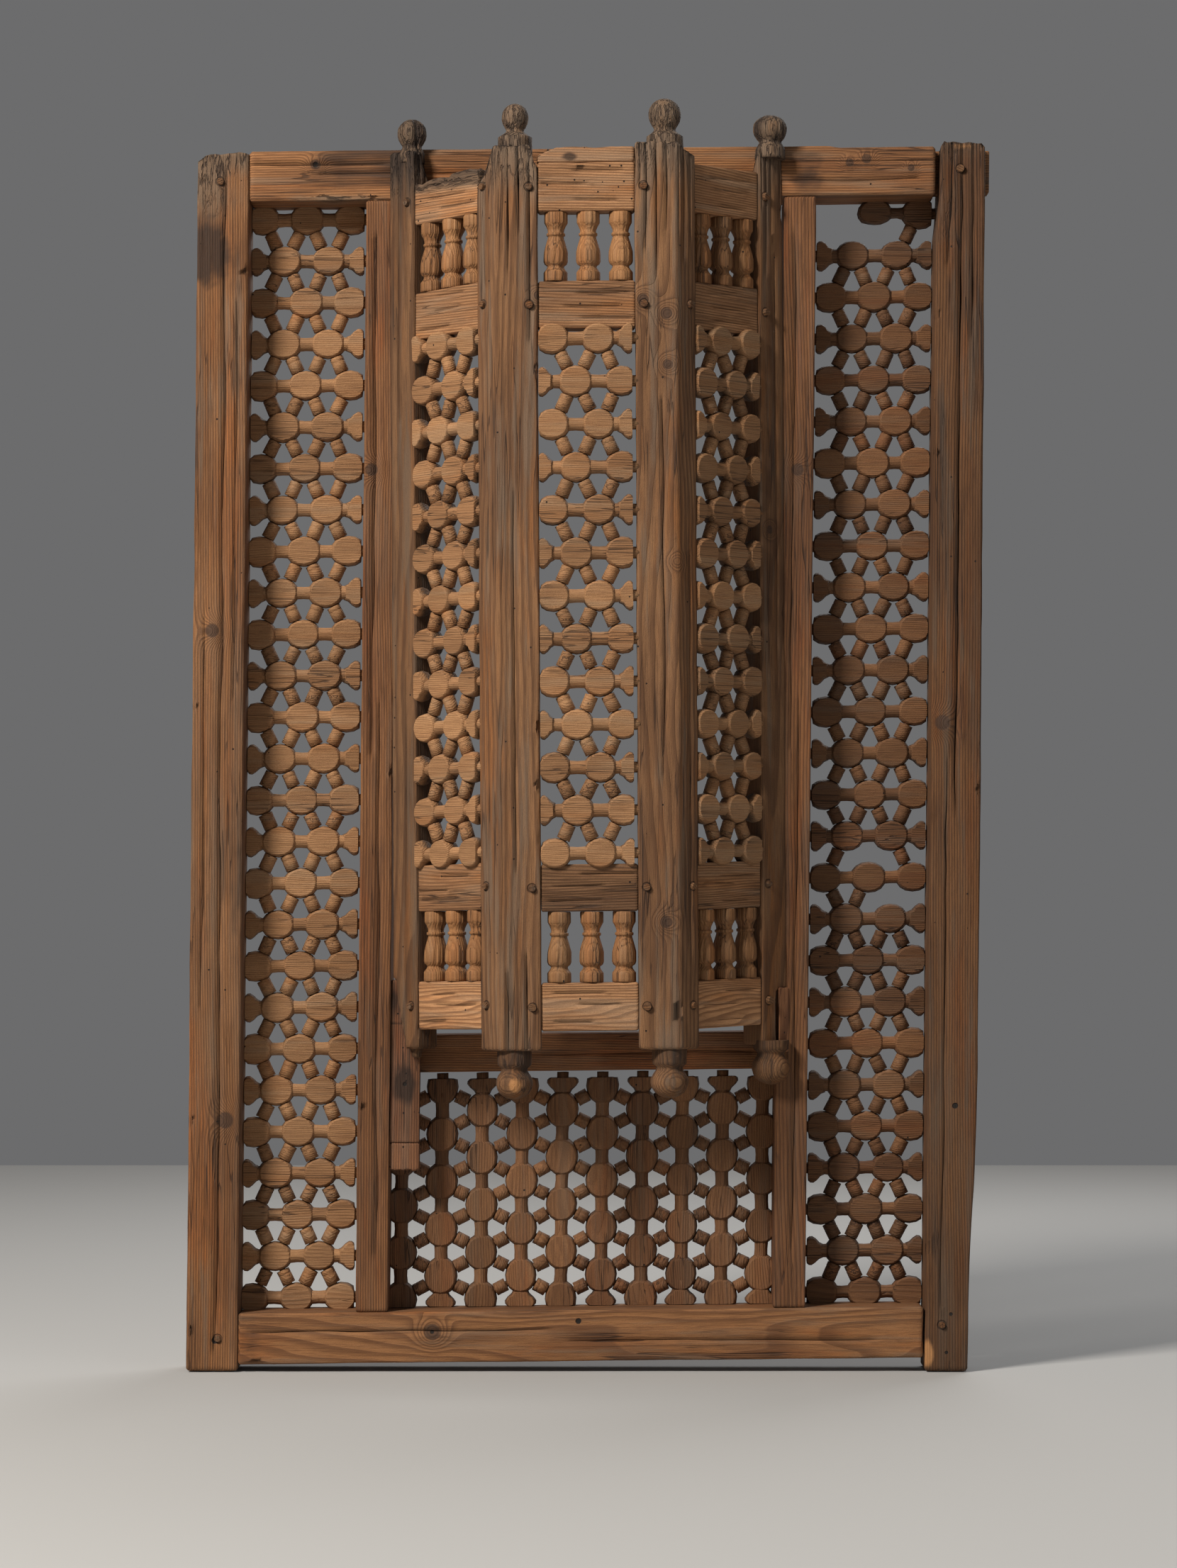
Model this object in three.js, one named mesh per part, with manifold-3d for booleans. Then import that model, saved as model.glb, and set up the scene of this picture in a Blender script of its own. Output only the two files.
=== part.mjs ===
// Mashrabiya window screen: an old pine frame that has racked out of square, three flat lattices of
// turned beads, and a three-sided bay on four turned posts.
// Millimetres, +Z up, front towards -Y. The origin is the middle of the bottom rail's back face.
// Heights below are measured from the feet of the outer stiles, and depths forward from the frame's front.

import * as THREE from "three";
import { mergeVertices } from "three/addons/utils/BufferGeometryUtils.js";
import Module from "manifold-3d";

const wasm = await Module();
wasm.setup();

// ---- driving dimensions ----

const gap = 0.3; // left between pieces that touch

const frame = {
  depth: 80,
  clearHalf: 446.5, // centre line to the inner edge of the left outer stile
  stileWidth: 67.5,
  rightClear: 450, // the same on the right, where the stile is narrower
  rightWidth: 65.2,
  leftTop: 1593,
  rightTop: 1600,
  innerNear: 251.5, // inner stile, edge towards the bay
  innerFar: 293.5,
};

const rail = {
  topLow: 1532,
  topHigh: 1597.5,
  midLow: 392,
  midHigh: 441,
  midRecess: 27,
  bottomLow: 14,
  bottomHigh: 80.6,
};

const tenon = { thick: 26, low: 1537, high: 1593, proud: 6, shoulder: 448.5 };

// the frame leans: how far it shifts sideways per millimetre of height, and the rails' rise
const rack = { lean: 0.0099, rise: 0.0103 };
const datum = (rail.bottomLow + rail.bottomHigh) / 2;

const bay = {
  front: 142, // how far the front face stands off the frame
  arris: 115, // centre line to the corner of a front post
  lean: -0.005,
  leanHeight: 958, // where the sideways offset is measured
  leftLift: 3.5, // the left face stands this much higher
  offset: 10.6,
  sideRise: 0.025, // extra rise of the side faces towards the right
};
const faceAngle = Math.PI / 4;

const post = {
  frontFace: 53,
  sideFace: 35,
  thick: 38,
  backFace: 46,
  backThick: 36,
  low: 425,
};

const bayRail = { thick: 34, setback: 2.5 };
const bayLevels = {
  head: [1493, 1555],
  upper: [1344, 1404],
  lower: [602, 662],
  foot: [449.5, 511],
};

const lattice = {
  thick: 22,
  setback: 55, // behind the frame's front
  proud: 4, // of the bay's faces
  beadHalf: 19.5,
  neckHalf: 8.5,
  openHalf: 13.6, // an opening's half width where it meets a neck; it comes to a point at a bead
};

const baluster = { radius: 14.8, axisDepth: 15.5, shift: { front: 2.5, left: 0, right: 3 } };

// ---- materials ----

const wood = (colour, roughness = 0.78) =>
  new THREE.MeshStandardMaterial({ color: colour, roughness, metalness: 0 });

const finish = {
  stile: wood(0x7d5a3e),
  rail: wood(0x8a5c38),
  inner: wood(0x7c5438),
  post: wood(0x8a6848),
  bayRail: wood(0x94693f),
  bead: wood(0x9a7650),
  darkBead: wood(0x6a4a32),
  baluster: wood(0xa87a48, 0.68),
  block: wood(0x7a5236),
};

// ---- shared helpers ----

const toSolid = (geometry) => {
  const plain = geometry.clone();
  plain.deleteAttribute("normal");
  plain.deleteAttribute("uv");
  const merged = mergeVertices(plain, 1e-4);
  const mesh = new wasm.Mesh({
    numProp: 3,
    vertProperties: new Float32Array(merged.attributes.position.array),
    triVerts: new Uint32Array(merged.index.array),
  });
  return new wasm.Manifold(mesh);
};

const toGeometry = (solid) => {
  const mesh = solid.getMesh();
  const geometry = new THREE.BufferGeometry();
  geometry.setAttribute("position", new THREE.BufferAttribute(mesh.vertProperties, 3));
  geometry.setIndex(new THREE.BufferAttribute(mesh.triVerts, 1));
  geometry.computeVertexNormals();
  return geometry;
};

const outline = (points) => new THREE.Shape(points.map(([x, y]) => new THREE.Vector2(x, y)));

// a plan outline (x, y) carried from height low to height high
const upright = (points, low, high) => {
  const geometry = new THREE.ExtrudeGeometry(outline(points), {
    depth: high - low,
    bevelEnabled: false,
  });
  return geometry.translate(0, 0, low);
};

// a face outline (x, z) carried back from y = front by depth
const board = (points, front, depth) => {
  const geometry = new THREE.ExtrudeGeometry(outline(points), { depth, bevelEnabled: false });
  return geometry.rotateX(Math.PI / 2).translate(0, front + depth, 0);
};

const block = (x0, x1, front, depth, z0, z1) =>
  board([[x0, z0], [x1, z0], [x1, z1], [x0, z1]], front, depth);

// a turned shape about a vertical axis; the profile is [radius, height] from foot to head
const turned = (profile, sides) => {
  const points = profile.map(([r, z]) => new THREE.Vector2(r, z));
  return new THREE.LatheGeometry(points, sides).rotateX(Math.PI / 2);
};

const shear = (xx, xz, zx) =>
  new THREE.Matrix4().set(1, 0, xz, xx, 0, 1, 0, 0, zx, 0, 1, 0, 0, 0, 0, 1);

// the whole frame leans and its rails rise, about the middle of the bottom rail
const frameRack = shear(0, rack.lean, rack.rise);

const bayRack = shear(bay.offset - bay.lean * bay.leanHeight, bay.lean, rack.rise);

const screen = new THREE.Group();

const add = (name, geometry, material) => {
  const mesh = new THREE.Mesh(geometry, material.clone());
  mesh.name = name;
  screen.add(mesh);
};

const addFrame = (name, geometry, material) => {
  geometry.translate(0, -frame.depth, -datum);
  geometry.applyMatrix4(frameRack);
  add(name, geometry, material);
};

const addBay = (name, geometry, material) => {
  geometry.applyMatrix4(bayRack);
  geometry.translate(0, -frame.depth, -datum);
  add(name, geometry, material);
};

// ---- frame ----

// feet are cut level, so they undo the rise that the rack gives at their distance from the middle
const footAt = (x) => -rack.rise * x;

const leftStile = () => {
  const inner = -frame.clearHalf - gap;
  const outer = -frame.clearHalf - frame.stileWidth;
  const top = frame.leftTop;
  return board(
    [
      [outer, footAt(outer)],
      [inner, footAt(inner)],
      [inner, top],
      [inner - 14, top + 4],
      [outer + 18, top + 1],
      [outer, top - 9],
    ],
    0,
    frame.depth
  );
};

const rightStile = () => {
  const inner = frame.rightClear + gap;
  const outer = frame.rightClear + frame.rightWidth;
  const top = frame.rightTop;
  const shape = board(
    [
      [inner, footAt(inner)],
      [outer - 9, footAt(outer)],
      [outer - 8, 120],
      [outer, 330],
      [outer + 1, 700],
      [outer - 2, top - 8],
      [outer - 9, top],
      [inner + 10, top + 1],
      [inner + 5, top - 8],
      [inner + 4.5, top - 85],
      [inner, top - 125],
    ],
    0,
    frame.depth
  );
  const mortiseFront = (frame.depth - tenon.thick) / 2 - gap;
  const mortise = block(
    inner - 20,
    outer + 20,
    mortiseFront,
    tenon.thick + 2 * gap,
    tenon.low - gap,
    tenon.high + gap
  );
  return toGeometry(toSolid(shape).subtract(toSolid(mortise)));
};

const topRail = () => {
  const { shoulder } = tenon;
  const body = block(-frame.clearHalf, shoulder, 0, frame.depth, rail.topLow, rail.topHigh);
  const end = frame.rightClear + frame.rightWidth + tenon.proud;
  const tongue = block(
    shoulder - 10,
    end,
    (frame.depth - tenon.thick) / 2,
    tenon.thick,
    tenon.low,
    tenon.high
  );
  return toGeometry(toSolid(body).add(toSolid(tongue)));
};

addFrame("left_outer_stile", leftStile(), finish.stile);
addFrame("right_outer_stile", rightStile(), finish.stile);
addFrame("top_rail", topRail(), finish.rail);
addFrame(
  "bottom_rail",
  block(-frame.clearHalf, frame.rightClear - 2 - gap, 0, frame.depth, rail.bottomLow, rail.bottomHigh),
  finish.rail
);
addFrame(
  "middle_rail",
  block(
    -frame.innerNear + gap,
    frame.innerNear - gap,
    rail.midRecess,
    frame.depth - rail.midRecess,
    rail.midLow,
    rail.midHigh
  ),
  finish.inner
);
for (const [name, side] of [["left_inner_stile", -1], ["right_inner_stile", 1]]) {
  const near = side * frame.innerNear;
  const far = side * frame.innerFar;
  addFrame(
    name,
    block(
      Math.min(near, far),
      Math.max(near, far),
      0,
      frame.depth,
      rail.bottomHigh + gap,
      rail.topLow - gap
    ),
    finish.inner
  );
}

// ---- lattices ----

// A flat panel of parallel spindles joined by slanting links. Spindles run along u and are stacked
// along v from the top down; beads stand at every other half pitch, staggered from spindle to spindle,
// so each half pitch has one tapered opening between two spindles, and the end ones run out sideways.
// lost lists links broken away, as "row:place", place being the half pitch before the link.
const latticePanel = ({ u, v, rows, firstRow, pitch, centre, places, half, first, lost = [] }) => {
  const sheet = (points, depth, front) => {
    const geometry = new THREE.ExtrudeGeometry(outline(points), { depth, bevelEnabled: false });
    return toSolid(geometry.translate(0, 0, front));
  };
  const cut = (points) => sheet(points, lattice.thick + 20, -10);
  const beyond = u[1] - u[0];
  const cuts = [];
  for (let row = 0; row < rows - 1; row += 1) {
    const upper = firstRow - row * pitch;
    const lower = upper - pitch;
    const beadFoot = upper - lattice.beadHalf;
    const beadHead = lower + lattice.beadHalf;
    for (let place = 0; place < places; place += 1) {
      const x = centre + (place - (places - 1) / 2) * half;
      const beadAbove = (row + place + first) % 2 === 0;
      const point = [x, beadAbove ? beadFoot : beadHead];
      const neck = beadAbove ? lower + lattice.neckHalf : upper - lattice.neckHalf;
      const left = [x - lattice.openHalf, neck];
      const right = [x + lattice.openHalf, neck];
      const outLeft = [[x - beyond, beadFoot], [x - beyond, beadHead]];
      const outRight = [[x + beyond, beadHead], [x + beyond, beadFoot]];
      if (place === 0) {
        cuts.push(cut([...outLeft, ...(beadAbove ? [right, point] : [point, right])]));
      } else if (place === places - 1) {
        cuts.push(cut([...(beadAbove ? [point, left] : [left, point]), ...outRight]));
      } else {
        cuts.push(cut(beadAbove ? [point, left, right] : [left, point, right]));
      }
      if (lost.includes(`${row}:${place}`)) {
        cuts.push(cut([[x, beadFoot], [x, beadHead], [x + half, beadHead], [x + half, beadFoot]]));
      }
    }
  }
  const slab = sheet([[u[0], v[0]], [u[1], v[0]], [u[1], v[1]], [u[0], v[1]]], lattice.thick, 0);
  return slab.subtract(wasm.Manifold.union(cuts));
};

// stands a panel drawn in x, y upright, its front at the given y
const standUp = (solid, front) =>
  toGeometry(solid).rotateX(Math.PI / 2).translate(0, front + lattice.thick, 0);

const flank = {
  rows: 27,
  pitch: 54.7,
  half: 29.2,
  places: 5,
  lean: 4.5, // the bead pattern stands this much nearer the outer stile
};
const flankMiddle = (frame.clearHalf + frame.innerFar) / 2;

const sideLattice = (side, extra) =>
  latticePanel({
    u: side < 0
      ? [0.6 - frame.clearHalf, -frame.innerFar - gap]
      : [frame.innerFar + gap, frame.rightClear - 0.6],
    v: [rail.bottomHigh + gap, rail.topLow - gap],
    rows: flank.rows,
    firstRow: 1517,
    pitch: flank.pitch,
    centre: side * (flankMiddle + flank.lean),
    places: flank.places,
    half: flank.half,
    first: 0,
    ...extra,
  });

addFrame("left_lattice", standUp(sideLattice(-1, {}), lattice.setback), finish.bead);

// the right lattice has lost the left part of its top spindle and several links
const rightLost = ["0:0", "0:1", "0:2", "15:1", "15:2", "16:2", "16:3"];
const rightPanel = () => {
  const panel = sideLattice(1, { lost: rightLost });
  const breakAt = flankMiddle + flank.lean - 30;
  const missing = new THREE.ExtrudeGeometry(
    outline([
      [frame.innerFar - 10, 1517 - lattice.beadHalf - 2],
      [breakAt + 12, 1517 - lattice.beadHalf - 2],
      [breakAt, 1560],
      [frame.innerFar - 10, 1560],
    ]),
    { depth: lattice.thick + 20, bevelEnabled: false }
  );
  return panel.subtract(toSolid(missing.translate(0, 0, -10)));
};
addFrame("right_lattice", standUp(rightPanel(), lattice.setback), finish.darkBead);

// the lower lattice has upright spindles: the same panel turned a quarter turn
const lowerLattice = () => {
  const solid = latticePanel({
    u: [rail.bottomHigh + gap, rail.midLow - gap],
    v: [-frame.innerNear + gap, frame.innerNear - gap],
    rows: 10,
    firstRow: 237.5,
    pitch: 52.8,
    centre: 230.5,
    places: 10,
    half: 31.2,
    first: 0,
  });
  const geometry = toGeometry(solid).rotateZ(-Math.PI / 2);
  geometry.scale(-1, -1, 1);
  return geometry.rotateX(Math.PI / 2).translate(0, lattice.setback + lattice.thick, 0);
};
addFrame("lower_lattice", lowerLattice(), finish.darkBead);

// ---- bay ----

const sine = Math.sin(faceAngle);
const backCorner = bay.arris + bay.front; // where a side face meets the frame's front
const sideLength = bay.front / sine;

// A place on a face of the bay: along it from its left end as seen from outside, and in from it.
const faces = {
  front: { start: [-bay.arris, -bay.front], turn: 0, ends: [post.frontFace, post.frontFace] },
  left: { start: [-backCorner, 0], turn: -faceAngle, ends: [post.backFace, post.sideFace] },
  right: { start: [bay.arris, -bay.front], turn: faceAngle, ends: [post.sideFace, post.backFace] },
};
const faceLength = { front: 2 * bay.arris, left: sideLength, right: sideLength };

// moves a shape drawn on a face (x along, y in, z up) to its place in the bay
const onFace = (name, geometry) => {
  const face = faces[name];
  const placed = geometry.rotateZ(face.turn).translate(face.start[0], face.start[1], 0);
  if (name === "front") return placed;
  const hinge = name === "left" ? -bay.arris : bay.arris;
  placed.translate(-hinge, 0, 0);
  placed.applyMatrix4(shear(0, 0, bay.sideRise));
  return placed.translate(hinge, 0, name === "left" ? bay.leftLift : 0);
};

const opening = (name) => [faces[name].ends[0], faceLength[name] - faces[name].ends[1]];

const faceNames = ["front", "left", "right"];

for (const name of faceNames) {
  const [start, end] = opening(name);
  for (const [level, [low, high]] of Object.entries(bayLevels)) {
    const shape = block(start + gap, end - gap, bayRail.setback, bayRail.thick, low, high);
    addBay(`bay_${name}_${level}_rail`, onFace(name, shape), finish.bayRail);
  }
}

// the loose strip above the front head rail, worn away towards its left end
addBay(
  "bay_front_cap_strip",
  onFace(
    "front",
    board(
      [
        [post.frontFace + gap, bayLevels.head[1] + gap],
        [2 * bay.arris - post.frontFace - gap, bayLevels.head[1] + gap],
        [2 * bay.arris - post.frontFace - gap, bayLevels.head[1] + 19],
        [post.frontFace + 30, bayLevels.head[1] + 19],
        [post.frontFace + gap, bayLevels.head[1] + 12],
      ],
      bayRail.setback + 1,
      bayRail.thick - 6
    )
  ),
  finish.bayRail
);

const balusterProfile = (height) => {
  const r = baluster.radius;
  const h = height;
  return [
    [0, 0],
    [r, 0],
    [r, 0.12 * h],
    [0.68 * r, 0.25 * h],
    [r, 0.46 * h],
    [0.66 * r, 0.74 * h],
    [r, 0.84 * h],
    [r, h],
    [0, h],
  ];
};

const balusterRows = {
  upper: [bayLevels.upper[1] + gap, bayLevels.head[0] - gap],
  lower: [bayLevels.foot[1] + gap, bayLevels.lower[0] - gap],
};

for (const name of faceNames) {
  const [start, end] = opening(name);
  for (const [row, [low, high]] of Object.entries(balusterRows)) {
    for (let i = 0; i < 3; i += 1) {
      const x = start + ((end - start) * (2 * i + 1)) / 6 + baluster.shift[name];
      const shape = turned(balusterProfile(high - low), 7);
      shape.translate(x, baluster.axisDepth, low);
      addBay(`baluster_${name}_${row}_${i + 1}`, onFace(name, shape), finish.baluster);
    }
  }
}

const bayLattice = (name) => {
  const [start, end] = opening(name);
  const solid = latticePanel({
    u: [start + gap, end - gap],
    v: [bayLevels.lower[1] + gap, bayLevels.upper[0] - gap],
    rows: 13,
    firstRow: 1331,
    pitch: 54.6,
    centre: (start + end) / 2,
    places: 4,
    half: (end - start) / 4.25,
    first: name === "front" ? 0 : 1,
  });
  const geometry = toGeometry(solid).rotateX(Math.PI / 2);
  return onFace(name, geometry.translate(0, lattice.thick - lattice.proud, 0));
};
for (const name of faceNames) {
  addBay(`bay_${name}_lattice`, bayLattice(name), finish.bead);
}

// posts: plan outlines for the right-hand pair, mirrored for the left
const frontPostPlan = [
  [0, 0],
  [post.sideFace * sine, post.sideFace * sine],
  [(post.sideFace - post.thick) * sine, (post.sideFace + post.thick) * sine],
  [-post.frontFace, post.thick],
  [-post.frontFace, 0],
];
const backPostPlan = [
  [-post.backFace * sine, -post.backFace * sine],
  [0, 0],
  [-post.backThick * sine, post.backThick * sine],
  [-(post.backFace + post.backThick) * sine, (post.backThick - post.backFace) * sine],
];

const ball = (radius, halfHeight, centre) =>
  Array.from({ length: 5 }, (_, i) => {
    const angle = ((i + 1) / 6 - 0.5) * Math.PI;
    return [radius * Math.cos(angle), centre + halfHeight * Math.sin(angle)];
  });

const finial = ({ radius, halfHeight, centre, collar }, top) => [
  [0, top - 6],
  [collar, top - 6],
  [collar, Math.max(top + 1, (top + centre - halfHeight) / 2)],
  [collar * 0.72, Math.max(top + 2, centre - halfHeight + 2)],
  ...ball(radius, halfHeight, centre).slice(1),
  [0, centre + halfHeight],
];

const pendant = ({ radius, halfHeight, centre }) => [
  [0, centre - halfHeight],
  ...ball(radius, halfHeight, centre).slice(0, 4),
  [radius * 0.72, centre + halfHeight - 1],
  [radius * 0.9, post.low - 4],
  [radius * 0.9, post.low + 6],
  [0, post.low + 6],
];

const posts = [
  {
    name: "bay_post_1",
    side: -1,
    back: true,
    high: 1590,
    head: { axis: [226, -8], radius: 18.4, halfHeight: 18.4, centre: 1616.5, collar: 15 },
    stub: true,
  },
  {
    name: "bay_post_2",
    side: -1,
    back: false,
    high: 1580,
    head: { axis: [90, -bay.front + 26], radius: 17, halfHeight: 17, centre: 1617, collar: 18 },
    foot: { axis: [97, -bay.front + 26], radius: 23.4, halfHeight: 20, centre: 382 },
  },
  {
    name: "bay_post_3",
    side: 1,
    back: false,
    high: 1580,
    head: { axis: [101, -bay.front + 26], radius: 20.6, halfHeight: 19.5, centre: 1619, collar: 22 },
    foot: { axis: [101, -bay.front + 26], radius: 24.3, halfHeight: 20, centre: 382 },
  },
  {
    name: "bay_post_4",
    side: 1,
    back: true,
    high: 1592,
    head: { axis: [240, -12], radius: 21, halfHeight: 17.5, centre: 1617.5, collar: 19 },
    foot: { axis: [235, -12], radius: 24.8, halfHeight: 21, centre: 394 },
  },
];

// the lower end of the right back post has lost its outer edge, and a patch fills the place
const patch = { inner: 245.5, low: 415, high: 500, bevel: 14, proud: 3 };

// the lower end of the left back post is worn away slantwise on its outer side
const wornFoot = [
  [-300, 380],
  [-239.5, 380],
  [-239.5, 424],
  [-242.1, 442],
  [-249.5, 487],
  [-252.3, 516],
  [-300, 516],
];

for (const item of posts) {
  const plan = item.back ? backPostPlan : frontPostPlan;
  const origin = item.back ? [backCorner, 0] : [bay.arris, -bay.front];
  const points = plan.map(([x, y]) => [item.side * (origin[0] + x), origin[1] + y]);
  let solid = toSolid(upright(points, post.low, item.high));
  const onAxis = ([x, y], profile, sides) =>
    toSolid(turned(profile, sides).translate(item.side * x, y, 0));
  solid = solid.add(onAxis(item.head.axis, finial(item.head, item.high), 10));
  if (item.foot) {
    solid = solid.add(onAxis(item.foot.axis, pendant(item.foot), 10));
  }
  if (item.stub) {
    const brokenStub = [[0, post.low - 13], [6, post.low - 10], [7.4, post.low + 5], [0, post.low + 5]];
    solid = solid.add(onAxis(item.head.axis, brokenStub, 8));
  }
  if (item.back) {
    // planed flat where it lies against the frame, from its pendant up to the top rail
    const wide = backCorner + 60;
    const flat = block(-wide, wide, -gap, frame.depth, 300, rail.topHigh + gap);
    solid = solid.subtract(toSolid(flat));
  }
  if (item.name === "bay_post_1") {
    solid = solid.subtract(toSolid(board(wornFoot, -60, 120)));
  }
  if (item.name === "bay_post_4") {
    const away = block(patch.inner - gap, backCorner + 60, -60, 60, patch.low - gap, patch.high);
    solid = solid.subtract(toSolid(away));
  }
  addBay(item.name, toGeometry(solid), finish.post);
}

const patchPlan = [
  [patch.inner, -gap],
  [patch.inner, patch.inner - backCorner - patch.proud],
  [backCorner, -patch.proud],
  [backCorner + patch.proud, -gap],
];
addBay(
  "right_post_patch",
  upright(patchPlan, patch.low, patch.high - gap),
  finish.post
);

// packing blocks between the left inner stile and the lower lattice
const packing = {
  left: -frame.innerNear + gap,
  right: -212.6,
  front: 5,
  depth: rail.midRecess - gap - 5,
  cleatLow: 265,
  low: 301,
  shoulder: 455,
  tongueRight: -236, // above its shoulder the block is a narrow tongue
  high: 514,
};
addFrame(
  "left_packing_block",
  board(
    [
      [packing.left, packing.low],
      [packing.right, packing.low],
      [packing.right, packing.shoulder],
      [packing.tongueRight, packing.shoulder],
      [packing.tongueRight, packing.high],
      [packing.left, packing.high],
    ],
    packing.front,
    packing.depth
  ),
  finish.block
);
addFrame(
  "left_packing_cleat",
  block(packing.left, packing.right, packing.front, packing.depth, packing.cleatLow, packing.low - gap),
  finish.block
);

export default screen;
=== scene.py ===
import math
from collections import namedtuple

import bmesh
import bpy
import numpy as np
from mathutils import Matrix, Vector


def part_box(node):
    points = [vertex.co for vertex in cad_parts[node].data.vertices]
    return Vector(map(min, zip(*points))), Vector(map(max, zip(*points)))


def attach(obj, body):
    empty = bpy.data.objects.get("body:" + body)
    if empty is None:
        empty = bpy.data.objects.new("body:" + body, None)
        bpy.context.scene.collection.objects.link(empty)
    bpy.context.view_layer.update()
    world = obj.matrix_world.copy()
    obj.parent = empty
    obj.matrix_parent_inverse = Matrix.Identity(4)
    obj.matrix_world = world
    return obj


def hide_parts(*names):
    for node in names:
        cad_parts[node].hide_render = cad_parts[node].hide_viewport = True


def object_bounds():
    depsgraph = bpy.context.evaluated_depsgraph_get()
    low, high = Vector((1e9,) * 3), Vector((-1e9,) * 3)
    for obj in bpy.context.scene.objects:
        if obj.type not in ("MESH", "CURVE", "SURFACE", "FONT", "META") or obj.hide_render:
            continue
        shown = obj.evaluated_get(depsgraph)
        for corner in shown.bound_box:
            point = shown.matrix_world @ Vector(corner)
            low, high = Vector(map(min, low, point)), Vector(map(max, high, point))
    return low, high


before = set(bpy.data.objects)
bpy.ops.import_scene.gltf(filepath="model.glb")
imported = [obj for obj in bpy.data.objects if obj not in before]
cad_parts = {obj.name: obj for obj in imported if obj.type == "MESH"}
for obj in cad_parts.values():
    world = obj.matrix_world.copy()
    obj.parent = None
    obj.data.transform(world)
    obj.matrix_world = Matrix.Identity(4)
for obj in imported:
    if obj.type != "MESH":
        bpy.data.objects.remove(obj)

cadBox = [list(corner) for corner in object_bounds()]
print("frame loaded:", len(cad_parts), "nodes")


# camera, floor and light

view = {
    "place": (0.011, -5.58, 0.5867),
    "lens": 96.77,
    "shiftUp": 0.0651,
    "floorHeight": cadBox[0][2] - 0.0005,
    "backdrop": (0.150, 0.150, 0.152),
    "floorTone": (0.43, 0.425, 0.415),
    "key": {"place": (-2.7, -3.2, 3.7), "size": 1.1, "power": 345, "colour": (1.0, 0.95, 0.88)},
    "fill": {"place": (3.2, -3.6, 1.6), "size": 3.0, "power": 26, "colour": (0.90, 0.95, 1.0)},
    "rim": {"place": (1.2, 2.6, 3.0), "size": 2.4, "power": 60, "colour": (1.0, 1.0, 1.0)},
    "aim": (0.0, -0.08, 0.75),
}


def addSoftLight(name, light):
    data = bpy.data.lights.new(name, "AREA")
    data.size = light["size"]
    data.energy = light["power"]
    data.color = light["colour"]
    lamp = bpy.data.objects.new(name, data)
    lamp.location = light["place"]
    towards = Vector(view["aim"]) - Vector(light["place"])
    lamp.rotation_euler = towards.to_track_quat("-Z", "Y").to_euler()
    bpy.context.scene.collection.objects.link(lamp)


def setTheStage():
    camera = bpy.data.objects.new("camera", bpy.data.cameras.new("camera"))
    camera.data.lens = view["lens"]
    camera.data.sensor_width = 36
    camera.data.shift_y = view["shiftUp"]
    camera.location = view["place"]
    camera.rotation_euler = (math.radians(90), 0, 0)
    bpy.context.scene.collection.objects.link(camera)
    bpy.context.scene.camera = camera

    for name in ("key", "fill", "rim"):
        addSoftLight(name + "Light", view[name])

    world = bpy.data.worlds.new("studio")
    world.use_nodes = True
    world.node_tree.nodes["Background"].inputs["Color"].default_value = (*view["backdrop"], 1)
    world.node_tree.nodes["Background"].inputs["Strength"].default_value = 1.0
    bpy.context.scene.world = world
    bpy.context.scene.view_settings.view_transform = "Standard"

    half = 4.0
    low = view["floorHeight"]
    corners = [(-half, -half, low), (half, -half, low), (half, half, low), (-half, half, low)]
    sheet = bpy.data.meshes.new("floor")
    sheet.from_pydata(corners, [], [(0, 1, 2, 3)])
    floor = bpy.data.objects.new("floor", sheet)
    bpy.context.scene.collection.objects.link(floor)
    paint = bpy.data.materials.new("paleFloor")
    paint.use_nodes = True
    shader = paint.node_tree.nodes["Principled BSDF"]
    shader.inputs["Base Color"].default_value = (*view["floorTone"], 1)
    shader.inputs["Roughness"].default_value = 0.85
    sheet.materials.append(paint)


setTheStage()
print("camera, floor and lights ready")


# wood

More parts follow.
